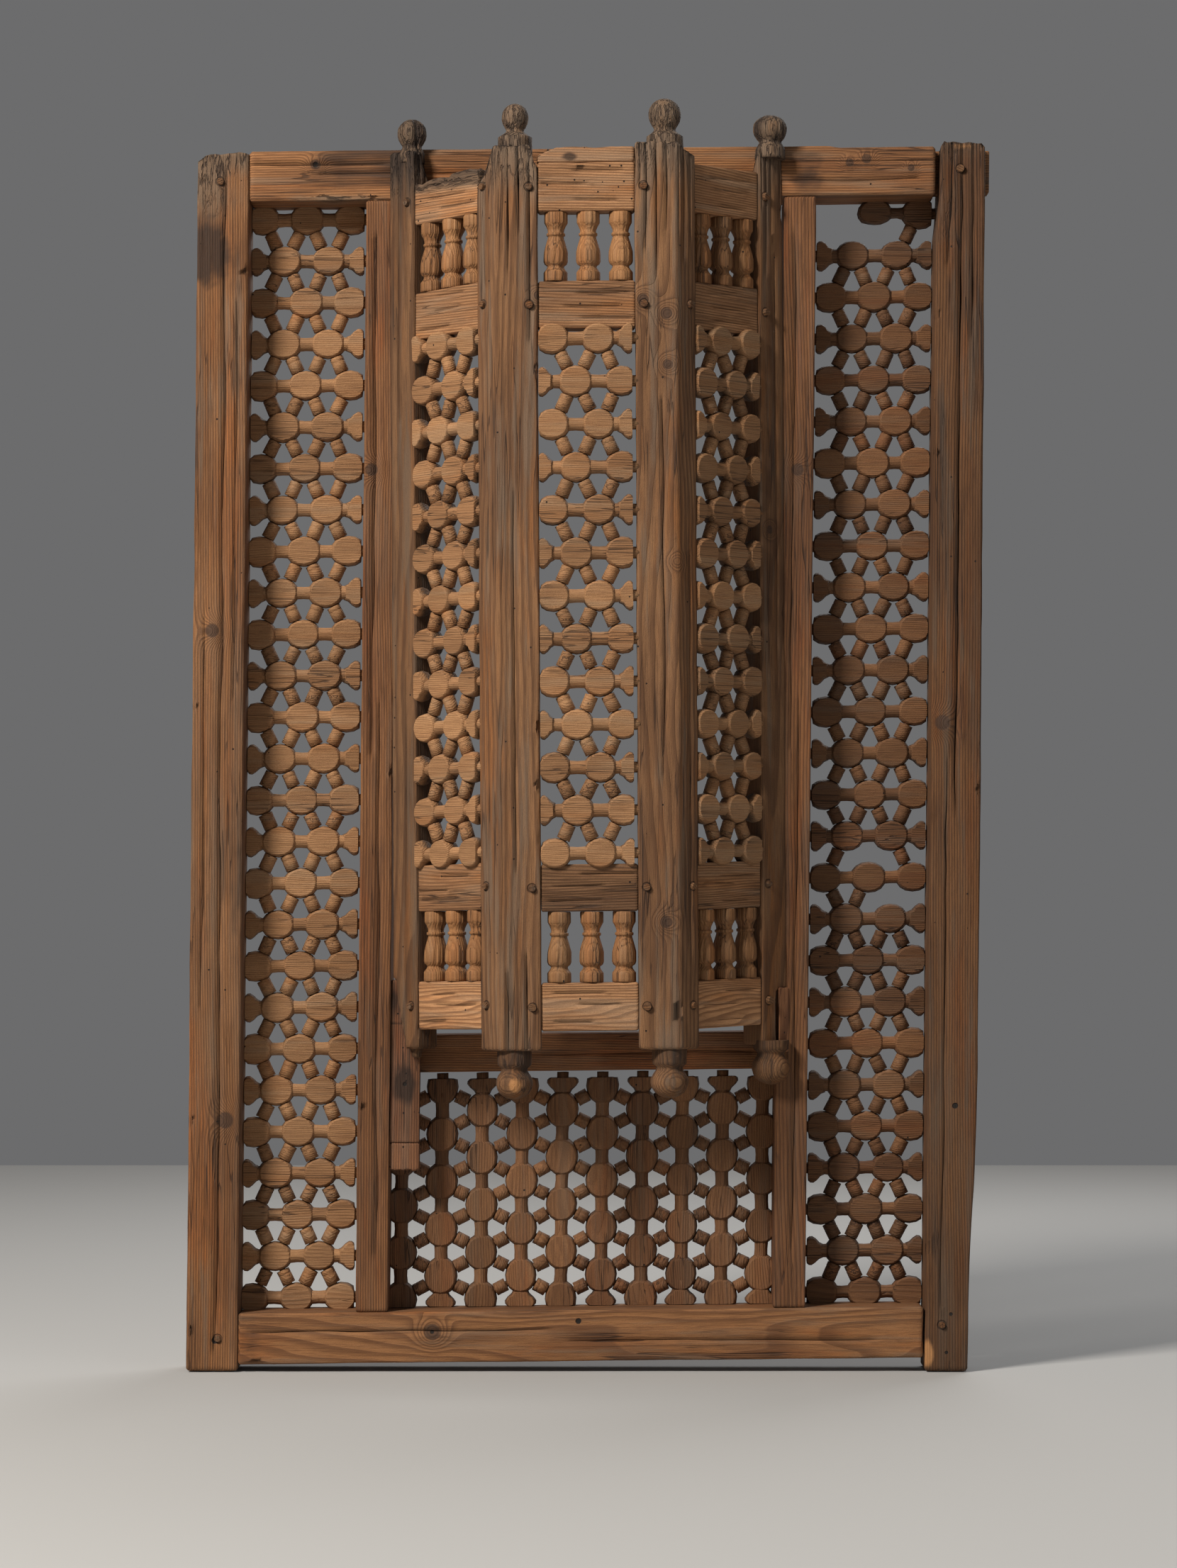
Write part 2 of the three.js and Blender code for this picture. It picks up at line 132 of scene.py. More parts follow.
# grain: the axis the fibres follow; pith: where the heart of the log lies across the fibres
woods = {
    "stile": {
        "light": (0.290, 0.138, 0.058), "dark": (0.080, 0.034, 0.016), "grey": (0.150, 0.108, 0.078),
        "warm": (0.300, 0.105, 0.028), "grain": "z", "ring": 0.0031, "pith": (0.03, 0.16), "greyness": 0.60,
        "rough": 0.80,
    },
    "rail": {
        "light": (0.340, 0.165, 0.072), "dark": (0.105, 0.044, 0.020), "grey": (0.190, 0.135, 0.095),
        "warm": (0.330, 0.120, 0.034), "grain": "x", "ring": 0.0034, "pith": (0.05, 0.12), "greyness": 0.45,
        "rough": 0.80,
    },
    "inner": {
        "light": (0.265, 0.122, 0.052), "dark": (0.080, 0.034, 0.017), "grey": (0.150, 0.100, 0.070),
        "warm": (0.270, 0.085, 0.024), "grain": "z", "ring": 0.0032, "pith": (0.06, 0.11), "greyness": 0.35,
        "rough": 0.82,
    },
    "post": {
        "light": (0.300, 0.158, 0.078), "dark": (0.092, 0.043, 0.022), "grey": (0.185, 0.138, 0.104),
        "warm": (0.300, 0.120, 0.038), "grain": "z", "ring": 0.0029, "pith": (0.02, 0.10), "greyness": 0.60,
        "rough": 0.84,
    },
    "bayRail": {
        "light": (0.430, 0.235, 0.122), "dark": (0.140, 0.064, 0.030), "grey": (0.270, 0.200, 0.145),
        "warm": (0.380, 0.160, 0.055), "grain": "x", "ring": 0.0030, "pith": (0.05, 0.09), "greyness": 0.40,
        "rough": 0.82, "lines": 0.74, "grit": 0.30,
    },
    "bead": {
        "light": (0.440, 0.248, 0.128), "dark": (0.190, 0.092, 0.043), "grey": (0.330, 0.230, 0.150),
        "warm": (0.360, 0.165, 0.066), "grain": "x", "ring": 0.0023, "pith": (0.02, 0.13), "greyness": 0.40,
        "rough": 0.78, "lines": 0.30, "grit": 0.42,
    },
    "darkBead": {
        "light": (0.225, 0.112, 0.052), "dark": (0.085, 0.038, 0.019), "grey": (0.145, 0.098, 0.066),
        "warm": (0.200, 0.078, 0.030), "grain": "x", "ring": 0.0023, "pith": (0.02, 0.13), "greyness": 0.40,
        "rough": 0.78, "lines": 0.30, "grit": 0.42,
    },
    "baluster": {
        "light": (0.440, 0.228, 0.100), "dark": (0.190, 0.082, 0.033), "grey": (0.300, 0.200, 0.120),
        "warm": (0.400, 0.160, 0.050), "grain": "z", "ring": 0.0024, "pith": (0.02, 0.10), "greyness": 0.30,
        "rough": 0.72, "lines": 0.42, "grit": 0.30,
    },
    "block": {
        "light": (0.230, 0.108, 0.054), "dark": (0.070, 0.030, 0.018), "grey": (0.140, 0.095, 0.070),
        "warm": (0.210, 0.070, 0.028), "grain": "z", "ring": 0.0030, "pith": (0.04, 0.08), "greyness": 0.35,
        "rough": 0.86,
    },
}


# small helpers that add one node to a tree and join its inputs
class Nodes:
    def __init__(self, tree):
        self.tree = tree

    def put(self, socket, value):
        if isinstance(value, bpy.types.NodeSocket):
            self.tree.links.new(value, socket)
        else:
            socket.default_value = value

    def add(self, kind, inputs=None, **settings):
        node = self.tree.nodes.new(kind)
        for key, value in settings.items():
            setattr(node, key, value)
        for key, value in (inputs or {}).items():
            self.put(node.inputs[key], value)
        return node

    def maths(self, operation, a, b=0.0, c=0.0, clamp=False):
        return self.add("ShaderNodeMath", {0: a, 1: b, 2: c}, operation=operation, use_clamp=clamp).outputs[0]

    def vectors(self, operation, a, b=(0, 0, 0)):
        node = self.add("ShaderNodeVectorMath", {0: a, 1: b}, operation=operation)
        return node.outputs["Value" if operation in ("LENGTH", "DISTANCE") else "Vector"]

    def noise(self, vector, scale, detail=3.0, roughness=0.55, distortion=0.0):
        return self.add("ShaderNodeTexNoise", {
            "Vector": vector, "Scale": scale, "Detail": detail,
            "Roughness": roughness, "Distortion": distortion,
        }).outputs[0]

    def step(self, value, low, high, toLow=0.0, toHigh=1.0):
        return self.add("ShaderNodeMapRange", {
            "Value": value, "From Min": low, "From Max": high, "To Min": toLow, "To Max": toHigh,
        }, interpolation_type="SMOOTHSTEP").outputs[0]

    def mix(self, factor, a, b, blend="MIX"):
        node = self.tree.nodes.new("ShaderNodeMix")
        node.data_type = "RGBA"
        node.blend_type = blend
        for number, value in ((0, factor), (6, a), (7, b)):
            self.put(node.inputs[number], (*value, 1) if isinstance(value, tuple) else value)
        return node.outputs[2]


warmth = (1.0, 0.94, 0.83)  # a share for each colour channel
grainTurn = {"z": (0, 0, 0), "x": (0, math.radians(-90), 0), "y": (math.radians(90), 0, 0)}


# knots: (place, radius); spots: (place, radius) small dark holes; beetle: share of cells with a hole
# collars: (place, radius) of the dark joint round a peg
def makeWood(name, kind, turn=0.0, grain=None, knots=(), spots=(), collars=(),
             beetle=0.0, tint=1.0, swirl=1.0):
    wood = woods[kind]
    material = bpy.data.materials.new(name)
    material.use_nodes = True
    n = Nodes(material.node_tree)
    place = n.add("ShaderNodeTexCoord").outputs["Object"]
    level = n.add("ShaderNodeMapping", {"Vector": place, "Rotation": (0, 0, -turn)}).outputs[0]
    along = n.add("ShaderNodeMapping", {
        "Vector": level, "Rotation": grainTurn[grain or wood["grain"]],
    }).outputs[0]

    # growth rings round a heart that wanders a little, pushed aside by the knots
    drift = n.noise(n.vectors("MULTIPLY", along, (4, 4, 0.8)), 1.5 * swirl, 2.0)
    split = n.add("ShaderNodeSeparateXYZ", {"Vector": along})
    acrossX = n.maths("SUBTRACT", split.outputs[0], wood["pith"][0])
    acrossY = n.maths("SUBTRACT", split.outputs[1], wood["pith"][1])
    radius = n.maths("SQRT", n.maths("ADD", n.maths("MULTIPLY", acrossX, acrossX),
                                     n.maths("MULTIPLY", acrossY, acrossY)))
    phase = n.maths("ADD", n.maths("DIVIDE", radius, wood["ring"]), n.maths("MULTIPLY", drift, 11.0 * swirl))
    knotMask = None
    for centre, size in knots:
        near = n.maths("DIVIDE", n.vectors("DISTANCE", place, centre), size)
        bulge = n.maths("EXPONENT", n.maths("MULTIPLY", n.maths("MULTIPLY", near, near), -0.45))
        phase = n.maths("MULTIPLY_ADD", bulge, 5.5, phase)
        core = n.step(near, 1.05, 0.75)
        knotMask = core if knotMask is None else n.maths("MAXIMUM", knotMask, core)
    ring = n.maths("FRACT", phase)
    lateWood = n.maths("MULTIPLY", n.step(ring, 0.30, 0.84), n.step(ring, 1.0, 0.92))

    fibre = n.noise(n.vectors("MULTIPLY", along, (1, 1, 0.045)), 620.0, 3.0, 0.7)
    streak = n.noise(n.vectors("MULTIPLY", along, (1, 1, 0.07)), 62.0, 4.0, 0.62)
    blotch = n.noise(n.vectors("MULTIPLY", along, (1, 1, 0.30)), 11.0, 3.0, 0.6)
    checkNoise = n.noise(n.vectors("MULTIPLY", along, (1, 1, 0.028)), 105.0, 2.0, 0.5, 0.3)
    check = n.step(n.maths("ABSOLUTE", n.maths("SUBTRACT", checkNoise, 0.5)), 0.016, 0.004)
    check = n.maths("MULTIPLY", check, n.step(blotch, 0.44, 0.60))

    light, dark, grey, warm = [tuple(c * w * tint for c, w in zip(wood[key], warmth))
                               for key in ("light", "dark", "grey", "warm")]
    body = n.mix(n.step(blotch, 0.36, 0.66), light, tuple(0.45 * a + 0.55 * b for a, b in zip(light, dark)))
    glow = n.noise(n.vectors("MULTIPLY", along, (1, 1, 0.12)), 27.0, 4.0, 0.62)
    body = n.mix(n.step(glow, 0.50, 0.68, 0.0, 0.75), body, warm)
    colour = n.mix(n.maths("MULTIPLY", lateWood, wood.get("lines", 0.62)), body, dark)
    colour = n.mix(n.step(fibre, 0.40, 0.72, 0.0, 0.60), colour, dark)
    greyMask = n.step(streak, 0.50, 0.66, 0.0, wood["greyness"])

    # painted by the meshes: red is stain, and painted shade in cracks, turned hollows, bead flanks,
    # undersides and joints; green is grey weathering, blue is bare fresh wood
    wearAndShade = n.add("ShaderNodeAttribute", attribute_name="wearAndShade").outputs["Color"]
    wearAndShadeParts = n.add("ShaderNodeSeparateColor", {"Color": wearAndShade})
    ragged = n.maths("MULTIPLY", n.maths("SUBTRACT", streak, 0.5), 0.9)
    # red: real stain together with painted shade, darkened towards near-black below
    darkening = n.step(n.maths("ADD", wearAndShadeParts.outputs[0], ragged), 0.22, 0.72)
    silver = n.step(n.maths("ADD", wearAndShadeParts.outputs[1], ragged), 0.22, 0.80)
    fresh = n.step(n.maths("ADD", wearAndShadeParts.outputs[2], ragged), 0.25, 0.70)
    colour = n.mix(n.maths("MAXIMUM", greyMask, n.maths("MULTIPLY", silver, 0.85)), colour, grey)
    colour = n.mix(n.maths("MULTIPLY", fresh, 0.8), colour, (0.47, 0.225, 0.085))
    colour = n.mix(n.maths("MULTIPLY", darkening, 0.86), colour, (0.022, 0.013, 0.009))
    colour = n.mix(n.maths("MULTIPLY", check, 0.75), colour, (0.03, 0.016, 0.010))

    # each turned piece has its own tone
    tone = n.add("ShaderNodeAttribute", attribute_name="tone").outputs["Fac"]
    shade = n.step(tone, 0.0, 1.0, 1.0, 0.62)
    colour = n.mix(1.0, colour, n.add("ShaderNodeCombineColor", {0: shade, 1: shade, 2: shade}).outputs[0],
                   "MULTIPLY")

    # weathered wood has crumbled along its fibres
    torn = n.noise(n.vectors("MULTIPLY", along, (1, 1, 0.16)), 130.0, 3.0, 0.6, 0.4)
    torn = n.step(n.maths("ABSOLUTE", n.maths("SUBTRACT", torn, 0.5)), 0.050, 0.008)
    torn = n.maths("MULTIPLY", torn, n.step(wearAndShadeParts.outputs[1], 0.42, 0.80))
    colour = n.mix(n.maths("MULTIPLY", torn, 0.80), colour, (0.024, 0.014, 0.010))
    grit = n.noise(place, 900.0, 2.0, 0.6)
    colour = n.mix(n.step(grit, 0.42, 0.70, 0.0, wood.get("grit", 0.22)), colour, dark)

    height = n.maths("MULTIPLY_ADD", lateWood, 0.42, n.maths("MULTIPLY", fibre, 0.55))
    height = n.maths("MULTIPLY_ADD", torn, -3.2, height)
    height = n.maths("MULTIPLY_ADD", grit, 0.5, height)
    height = n.maths("MULTIPLY_ADD", streak, 0.8, height)
    height = n.maths("MULTIPLY_ADD", check, -1.3, height)
    if knotMask is not None:
        colour = n.mix(n.maths("MULTIPLY", knotMask, 0.78), colour, (0.045, 0.024, 0.015))
        height = n.maths("MULTIPLY_ADD", knotMask, -0.4, height)
    for centre, size in spots:
        hole = n.step(n.vectors("DISTANCE", place, centre), size, size * 0.7)
        colour = n.mix(hole, colour, (0.012, 0.008, 0.006))
        height = n.maths("MULTIPLY_ADD", hole, -3.0, height)
    for centre, size in collars:
        away = n.vectors("DISTANCE", place, centre)
        gap = n.maths("MULTIPLY", n.step(away, size * 1.30, size * 1.14),
                      n.step(away, size * 0.86, size * 0.96))
        colour = n.mix(n.maths("MULTIPLY", gap, 0.60), colour, (0.020, 0.012, 0.008))
        height = n.maths("MULTIPLY_ADD", gap, -1.0, height)
    if beetle:
        cells = n.add("ShaderNodeTexVoronoi", {"Vector": place, "Scale": 95.0, "Randomness": 1.0})
        chosen = n.add("ShaderNodeSeparateColor", {"Color": cells.outputs["Color"]}).outputs[0]
        hole = n.maths("MULTIPLY", n.step(cells.outputs["Distance"], 0.13, 0.09),
                       n.maths("LESS_THAN", chosen, beetle))
        colour = n.mix(hole, colour, (0.015, 0.009, 0.006))
        height = n.maths("MULTIPLY_ADD", hole, -2.5, height)

    bump = n.add("ShaderNodeBump", {"Height": height, "Strength": 0.9, "Distance": 0.0012})
    gloss = n.step(streak, 0.3, 0.7, wood["rough"] + 0.08, wood["rough"] - 0.10)
    shader = n.tree.nodes["Principled BSDF"]
    for label, value in (("Base Color", colour), ("Roughness", gloss), ("Normal", bump.outputs[0]),
                         ("Specular IOR Level", 0.32)):
        n.put(shader.inputs[label], value)
    return material


# noise and meshes

def valueNoise(points, seed):
    cell = np.floor(points).astype(np.int64)
    part = points - cell
    part = part * part * (3 - 2 * part)
    total = np.zeros(len(points))
    for corner in range(8):
        step = np.array([corner & 1, corner >> 1 & 1, corner >> 2 & 1])
        at = cell + step
        mixed = at[:, 0] * 374761393 + at[:, 1] * 668265263 + at[:, 2] * 1440662683
        mixed = (mixed + seed * 974711) & 0xFFFFFFFF
        mixed = ((mixed ^ (mixed >> 13)) * 1274126177) & 0xFFFFFFFF
        mixed = mixed ^ (mixed >> 16)
        weight = np.prod(np.where(step == 1, part, 1 - part), axis=1)
        total += weight * (mixed & 0xFFFF) / 65535.0
    return total * 2 - 1


def layeredNoise(points, seed, layers=3):
    total = np.zeros(len(points))
    for layer in range(layers):
        total += valueNoise(points * 2.03 ** layer, seed + layer) * 0.5 ** layer
    return total / 1.75


def vertexNormals(points, faces):
    normals = np.zeros_like(points)
    for face in (faces[:, [0, 1, 2]], faces[:, [0, 2, 3]]):
        a, b, c = (points[face[:, i]] for i in range(3))
        flat = np.cross(b - a, c - a)
        for i in range(3):
            np.add.at(normals, face[:, i], flat)
    return normals / np.maximum(np.linalg.norm(normals, axis=1), 1e-12)[:, None]


def faceOutwards(mesh):
    bm = bmesh.new()
    bm.from_mesh(mesh)
    bmesh.ops.recalc_face_normals(bm, faces=bm.faces)
    bm.to_mesh(mesh)
    bm.free()


def addPiece(name, mesh, replaced=()):
    piece = bpy.data.objects.new(name, mesh)
    bpy.context.scene.collection.objects.link(piece)
    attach(piece, "root")
    if replaced:
        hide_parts(*replaced)
    return piece


# one row per point: stain and painted shade, grey, fresh
def paintWearAndShade(mesh, wearAndShade):
    colours = np.ones((len(wearAndShade), 4), np.float32)
    colours[:, :3] = np.clip(wearAndShade, 0, 1)
    layer = mesh.color_attributes.new("wearAndShade", "FLOAT_COLOR", "POINT")
    layer.data.foreach_set("color", colours.ravel())


def makePiece(name, points, faces, material, replaced, wearAndShade):
    mesh = bpy.data.meshes.new(name)
    mesh.from_pydata(points.tolist(), [], [list(dict.fromkeys(face)) for face in faces])
    faceOutwards(mesh)
    mesh.shade_smooth()
    paintWearAndShade(mesh, wearAndShade)
    mesh.materials.append(material)
    return addPiece(name, mesh, replaced)


# several closed shapes, each (points, faces, wear), as one
def joinParts(parts):
    points, faces, wearAndShade = zip(*parts)
    starts = np.cumsum([0] + [len(p) for p in points[:-1]])
    return (np.concatenate(points), np.concatenate([f + start for f, start in zip(faces, starts)]),
            np.concatenate(wearAndShade))


def meshPoints(mesh):
    points = np.zeros(len(mesh.vertices) * 3, np.float32)
    mesh.vertices.foreach_get("co", points)
    return points.reshape(-1, 3).astype(float)


def nodePoints(name):
    return np.unique(np.round(meshPoints(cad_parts[name].data), 5), axis=0)


# the convex outline round points in a plane
def convexRing(points):
    order = sorted(map(tuple, points))

    def chain(run):
        out = []
        for p in run:
            while len(out) > 1:
                (ax, ay), (bx, by) = out[-2], out[-1]
                if (bx - ax) * (p[1] - ay) - (by - ay) * (p[0] - ax) > 2e-6:
                    break
                out.pop()
            out.append(p)
        return out[:-1]

    return np.array(chain(order) + chain(order[::-1]))


# where the edges of a CAD solid cross a level plane
def sliceNode(name, height):
    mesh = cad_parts[name].data
    points = meshPoints(mesh)
    edges = np.zeros(len(mesh.edges) * 2, np.int32)
    mesh.edges.foreach_get("vertices", edges)
    a, b = points[edges.reshape(-1, 2)[:, 0]], points[edges.reshape(-1, 2)[:, 1]]
    crossing = (a[:, 2] - height) * (b[:, 2] - height) < 0
    a, b = a[crossing], b[crossing]
    t = (height - a[:, 2]) / (b[:, 2] - a[:, 2])
    return convexRing(np.round((a + (b - a) * t[:, None])[:, :2], 6))


# the corner rings at the two ends of a solid that has straight sides along a direction
def endRings(name, direction, keep=None):
    points = nodePoints(name)
    if keep is not None:
        points = points[keep(points)]
    along = points @ np.array(direction, float)
    order = np.argsort(along)
    ends = []
    axis = Vector(direction).normalized()
    side = Vector((0, 0, 1)).cross(axis) if abs(axis.z) < 0.9 else Vector((1, 0, 0))
    up = axis.cross(side)
    for chosen in (order[:4], order[-4:]):
        ring = points[chosen]
        offset = ring - ring.mean(axis=0)
        angle = np.arctan2(offset @ np.array(up), offset @ np.array(side))
        ends.append(ring[np.argsort(angle)])
    return ends


# at is a share of the side's width; start and end are shares of the board's length
Crack = namedtuple("Crack", "side at start end width depth wander")


# a board swept through corner rings, with rounded worn edges, cracks along the grain and closed ends
def sweepBoard(rings, across=0.0045, along=0.0065, edge=0.0025, cracks=(), seed=1):
    rings = np.array(rings, float)
    centres = rings.mean(axis=1)
    run = np.concatenate([[0], np.cumsum(np.linalg.norm(np.diff(centres, axis=0), axis=1))])
    length = run[-1]
    count = max(int(length / along), 6)
    stops = np.unique(np.concatenate([
        [0, 0.35 * edge, edge, length - edge, length - 0.35 * edge, length],
        np.linspace(edge * 2.2, length - edge * 2.2, count),
    ]))
    shrink = np.clip(edge - np.minimum(stops, length - stops), 0, edge)
    shrink = edge * (shrink / edge) ** 1.6
    corners = np.stack([
        np.stack([np.interp(stops, run, rings[:, i, axis]) for axis in range(3)], axis=1)
        for i in range(rings.shape[1])
    ], axis=1)
    sides = np.roll(corners, -1, axis=1) - corners
    lengths = np.linalg.norm(sides, axis=2)
    units = sides / lengths[..., None]
    before = np.roll(units, 1, axis=1)
    share = stops / length
    columns, cavities = [], []

    def wobble(scale, offset, amount):
        track = np.stack([stops / scale, np.full_like(stops, offset), np.zeros_like(stops)], axis=1)
        return layeredNoise(track, seed + int(offset * 7), 3) * amount

    for i in range(corners.shape[1]):
        radius = edge * (1 + 0.55 * wobble(0.035, 3.1 * i + 0.5, 1.0))
        radius += np.clip(wobble(0.055, 5.3 * i + 2.5, 1.0) - 0.42, 0, 1) * edge * 4.0  # chipped arrises
        start = corners[:, i] - before[:, i] * radius[:, None]
        finish = corners[:, i] + units[:, i] * radius[:, None]
        columns += [start, 0.22 * start + 0.56 * corners[:, i] + 0.22 * finish, finish]
        cavities += [np.zeros_like(stops)] * 3
        mean = lengths[:, i].mean()
        places = [(d, None, 0) for d in np.linspace(0, mean, max(int(mean / across), 2) + 1)[1:-1]]
        for number, crack in enumerate(c for c in cracks if c.side == i):
            at = crack.at * mean
            clear = crack.width * 1.6 + crack.wander + 0.0008
            places = [p for p in places if abs(p[0] - at) > clear or p[1] is not None]
            places += [(at + k * crack.width, crack, k) for k in (-1, 0, 1)]
        for distance, crack, k in sorted(places, key=lambda p: p[0]):
            point = corners[:, i] + sides[:, i] * (distance / mean)
            hollow = np.zeros_like(stops)
            if crack is not None:
                drift = wobble(0.16, 11.7 + 40 * crack.at, crack.wander)
                near = np.clip(np.minimum(share - crack.start, crack.end - share) / 0.04, 0, 1)
                opened = near * (0.65 + 0.35 * wobble(0.05, 21.1 + 30 * crack.at, 1.0))
                narrowed = k * crack.width * (1 - np.maximum(opened, 0.15))
                point = point + units[:, i] * (drift - narrowed)[:, None]
                # the crack's opening is kept to paint shade into the crack
                if k == 0:
                    hollow = opened
                inward = np.cross(units[:, i], np.gradient(centresAt(stops, run, centres), axis=0))
                inward /= np.maximum(np.linalg.norm(inward, axis=1), 1e-9)[:, None]
                middleOf = corners.mean(axis=1)
                flip = np.sign(np.sum(inward * (middleOf - point), axis=1))
                point = point + inward * (flip * hollow * crack.depth)[:, None]
            columns.append(point)
            cavities.append(hollow)
    grid = np.stack(columns, axis=1)
    cavity = np.stack(cavities, axis=1)
    hub = corners.mean(axis=1)[:, None]
    size = np.linalg.norm(grid - hub, axis=2).mean()
    grid = hub + (grid - hub) * (1 - shrink / size)[:, None, None]

    rows, width = grid.shape[:2]
    points = [grid.reshape(-1, 3)]
    marks = [cavity.ravel()]
    faces = []
    index = np.arange(rows * width).reshape(rows, width)
    right = np.roll(index, -1, axis=1)
    faces.append(np.stack([index[:-1], right[:-1], right[1:], index[1:]], axis=-1).reshape(-1, 4))
    total = rows * width
    for row in (0, rows - 1):
        ring = index[row]
        for factor in (0.78, 0.52, 0.26):
            inner = hub[row] + (grid[row] - hub[row]) * factor
            points.append(inner)
            marks.append(cavity[row] * factor)
            fresh = np.arange(total, total + width)
            faces.append(np.stack([ring, np.roll(ring, -1), np.roll(fresh, -1), fresh], axis=-1))
            ring = fresh
            total += width
        points.append(hub[row].reshape(1, 3))
        marks.append(np.zeros(1))
        pole = np.full(width, total)
        faces.append(np.stack([ring, np.roll(ring, -1), pole, pole], axis=-1))
        total += 1
    return np.concatenate(points), np.concatenate(faces), np.concatenate(marks)


def centresAt(stops, run, centres):
    return np.stack([np.interp(stops, run, centres[:, axis]) for axis in range(3)], axis=1)


# moves points by uneven planing and weathering, paints shade into the crack hollows and paints grey patches
def weather(points, faces, cavity, seed, uneven=0.0007, rough=0.00022, grainAxis=2, grey=0.25, darkening=0.0):
    normals = vertexNormals(points, faces)
    stretch = np.full(3, 1.0)
    stretch[grainAxis] = 0.10
    broad = layeredNoise(points * 14.0, seed, 2)
    fine = layeredNoise(points * 210.0 * stretch, seed + 5, 2)
    ridge = layeredNoise(points * 70.0 * stretch, seed + 9, 2)
    moved = points + normals * (broad * uneven + fine * rough + ridge * rough * 1.6)[:, None]
    wearAndShade = np.zeros((len(points), 3))
    # red: painted shade in the crack hollows, with stain noise
    wearAndShade[:, 0] = cavity * 0.95 + np.clip(layeredNoise(points * 9.0 * stretch, seed + 20, 3), 0, 1) * darkening
    wearAndShade[:, 1] = grey + 0.35 * layeredNoise(points * 7.0 * stretch, seed + 30, 3)
    return moved, wearAndShade


# paints an oval patch, softened by noise; channel 0 stain and painted shade, 1 grey, 2 fresh wood
def paintPatch(points, wearAndShade, channel, centre, size, amount, seed=3):
    offset = (points - np.array(centre)) / np.array(size)
    near = np.linalg.norm(offset, axis=1) + 0.35 * layeredNoise(points * 60.0, seed, 3)
    wearAndShade[:, channel] += np.clip(1.25 - near, 0, 1) * amount


# outer stiles

stileWork = {
    "left_outer_stile": {
        "seed": 11,
        "full": 1.528,
        "topLine": [(-0.5000, 1.529), (-0.4970, 1.534), (-0.4900, 1.539), (-0.4807, 1.5412),
                    (-0.4455, 1.5440), (-0.4370, 1.5432), (-0.4315, 1.5400)],
        "cracks": [
            Crack(0, 0.56, 0.02, 0.985, 0.0011, 0.014, 0.004),
            Crack(0, 0.24, 0.30, 0.62, 0.0007, 0.006, 0.003),
            Crack(0, 0.80, 0.55, 0.88, 0.0007, 0.006, 0.003),
            Crack(3, 0.50, 0.10, 0.90, 0.0012, 0.012, 0.005),
            Crack(2, 0.45, 0.15, 0.70, 0.0010, 0.010, 0.005),
        ],
        "knots": [((-0.463, -0.08, 0.281), 0.012), ((-0.480, -0.08, 0.92), 0.010)], "tint": 0.97,
        "pegs": [((-0.469, -0.081, 1.506), 0.0052), ((-0.473, -0.081, -0.004), 0.0052)],
        "spots": [((-0.476, -0.0802, -0.006), 0.0050)],
        "patches": [
            (0, (-0.492, -0.08, 1.412), (0.028, 0.05, 0.046), 0.90),
            (0, (-0.462, -0.08, 1.395), (0.030, 0.05, 0.060), 0.42),
            (0, (-0.480, -0.08, 1.480), (0.050, 0.05, 0.080), 0.26),
            (1, (-0.480, -0.08, 1.500), (0.050, 0.10, 0.060), 0.50),
            (0, (-0.450, -0.08, 0.60), (0.010, 0.05, 0.22), 0.45),
        ],
    },
    "right_outer_stile": {
        "seed": 23,
        "full": 1.546,
        "topLine": [(0.4695, 1.5493), (0.4755, 1.5578), (0.5216, 1.5573), (0.5292, 1.5495)],
        "cracks": [
            Crack(0, 0.50, 0.45, 0.999, 0.0013, 0.018, 0.004),
            Crack(0, 0.26, 0.90, 0.999, 0.0009, 0.010, 0.003),
            Crack(0, 0.76, 0.84, 0.999, 0.0009, 0.010, 0.003),
            Crack(0, 0.34, 0.05, 0.50, 0.0009, 0.009, 0.005),
            Crack(1, 0.55, 0.08, 0.93, 0.0011, 0.012, 0.005),
            Crack(2, 0.45, 0.15, 0.80, 0.0010, 0.010, 0.005),
        ],
        "knots": [((0.473, -0.08, 0.80), 0.011)], "tint": 0.52,
        "pegs": [((0.496, -0.081, 1.523), 0.0052), ((0.472, -0.081, 0.014), 0.0052)],
        "spots": [((0.4895, -0.080, 0.300), 0.0042), ((0.484, -0.080, 0.028), 0.0026),
                  ((0.478, -0.080, -0.022), 0.0024)],
        "patches": [
            (2, (0.496, -0.08, 1.552), (0.024, 0.05, 0.008), 0.55),
            (1, (0.480, -0.08, 1.47), (0.030, 0.06, 0.09), 0.45),
            (2, (0.452, -0.08, -0.025), (0.012, 0.05, 0.020), 0.90),
            (0, (0.470, -0.08, 1.18), (0.012, 0.05, 0.16), 0.40),
            (0, (0.462, -0.08, 0.50), (0.010, 0.05, 0.20), 0.35),
        ],
    },
}


# sixty slices of the CAD stile up to where its top begins to narrow
def stileRings(name, full):
    low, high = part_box(name)
    rings = []
    for z in np.linspace(low[2] + 0.0012, full, 60):
        ring = sliceNode(name, z)
        (x0, y0), (x1, y1) = ring.min(axis=0), ring.max(axis=0)
        rings.append([(x0, y0, z), (x1, y0, z), (x1, y1, z), (x0, y1, z)])
    return rings + [[(x, y, high[2] + 0.0010) for x, y, z in rings[-1]]]


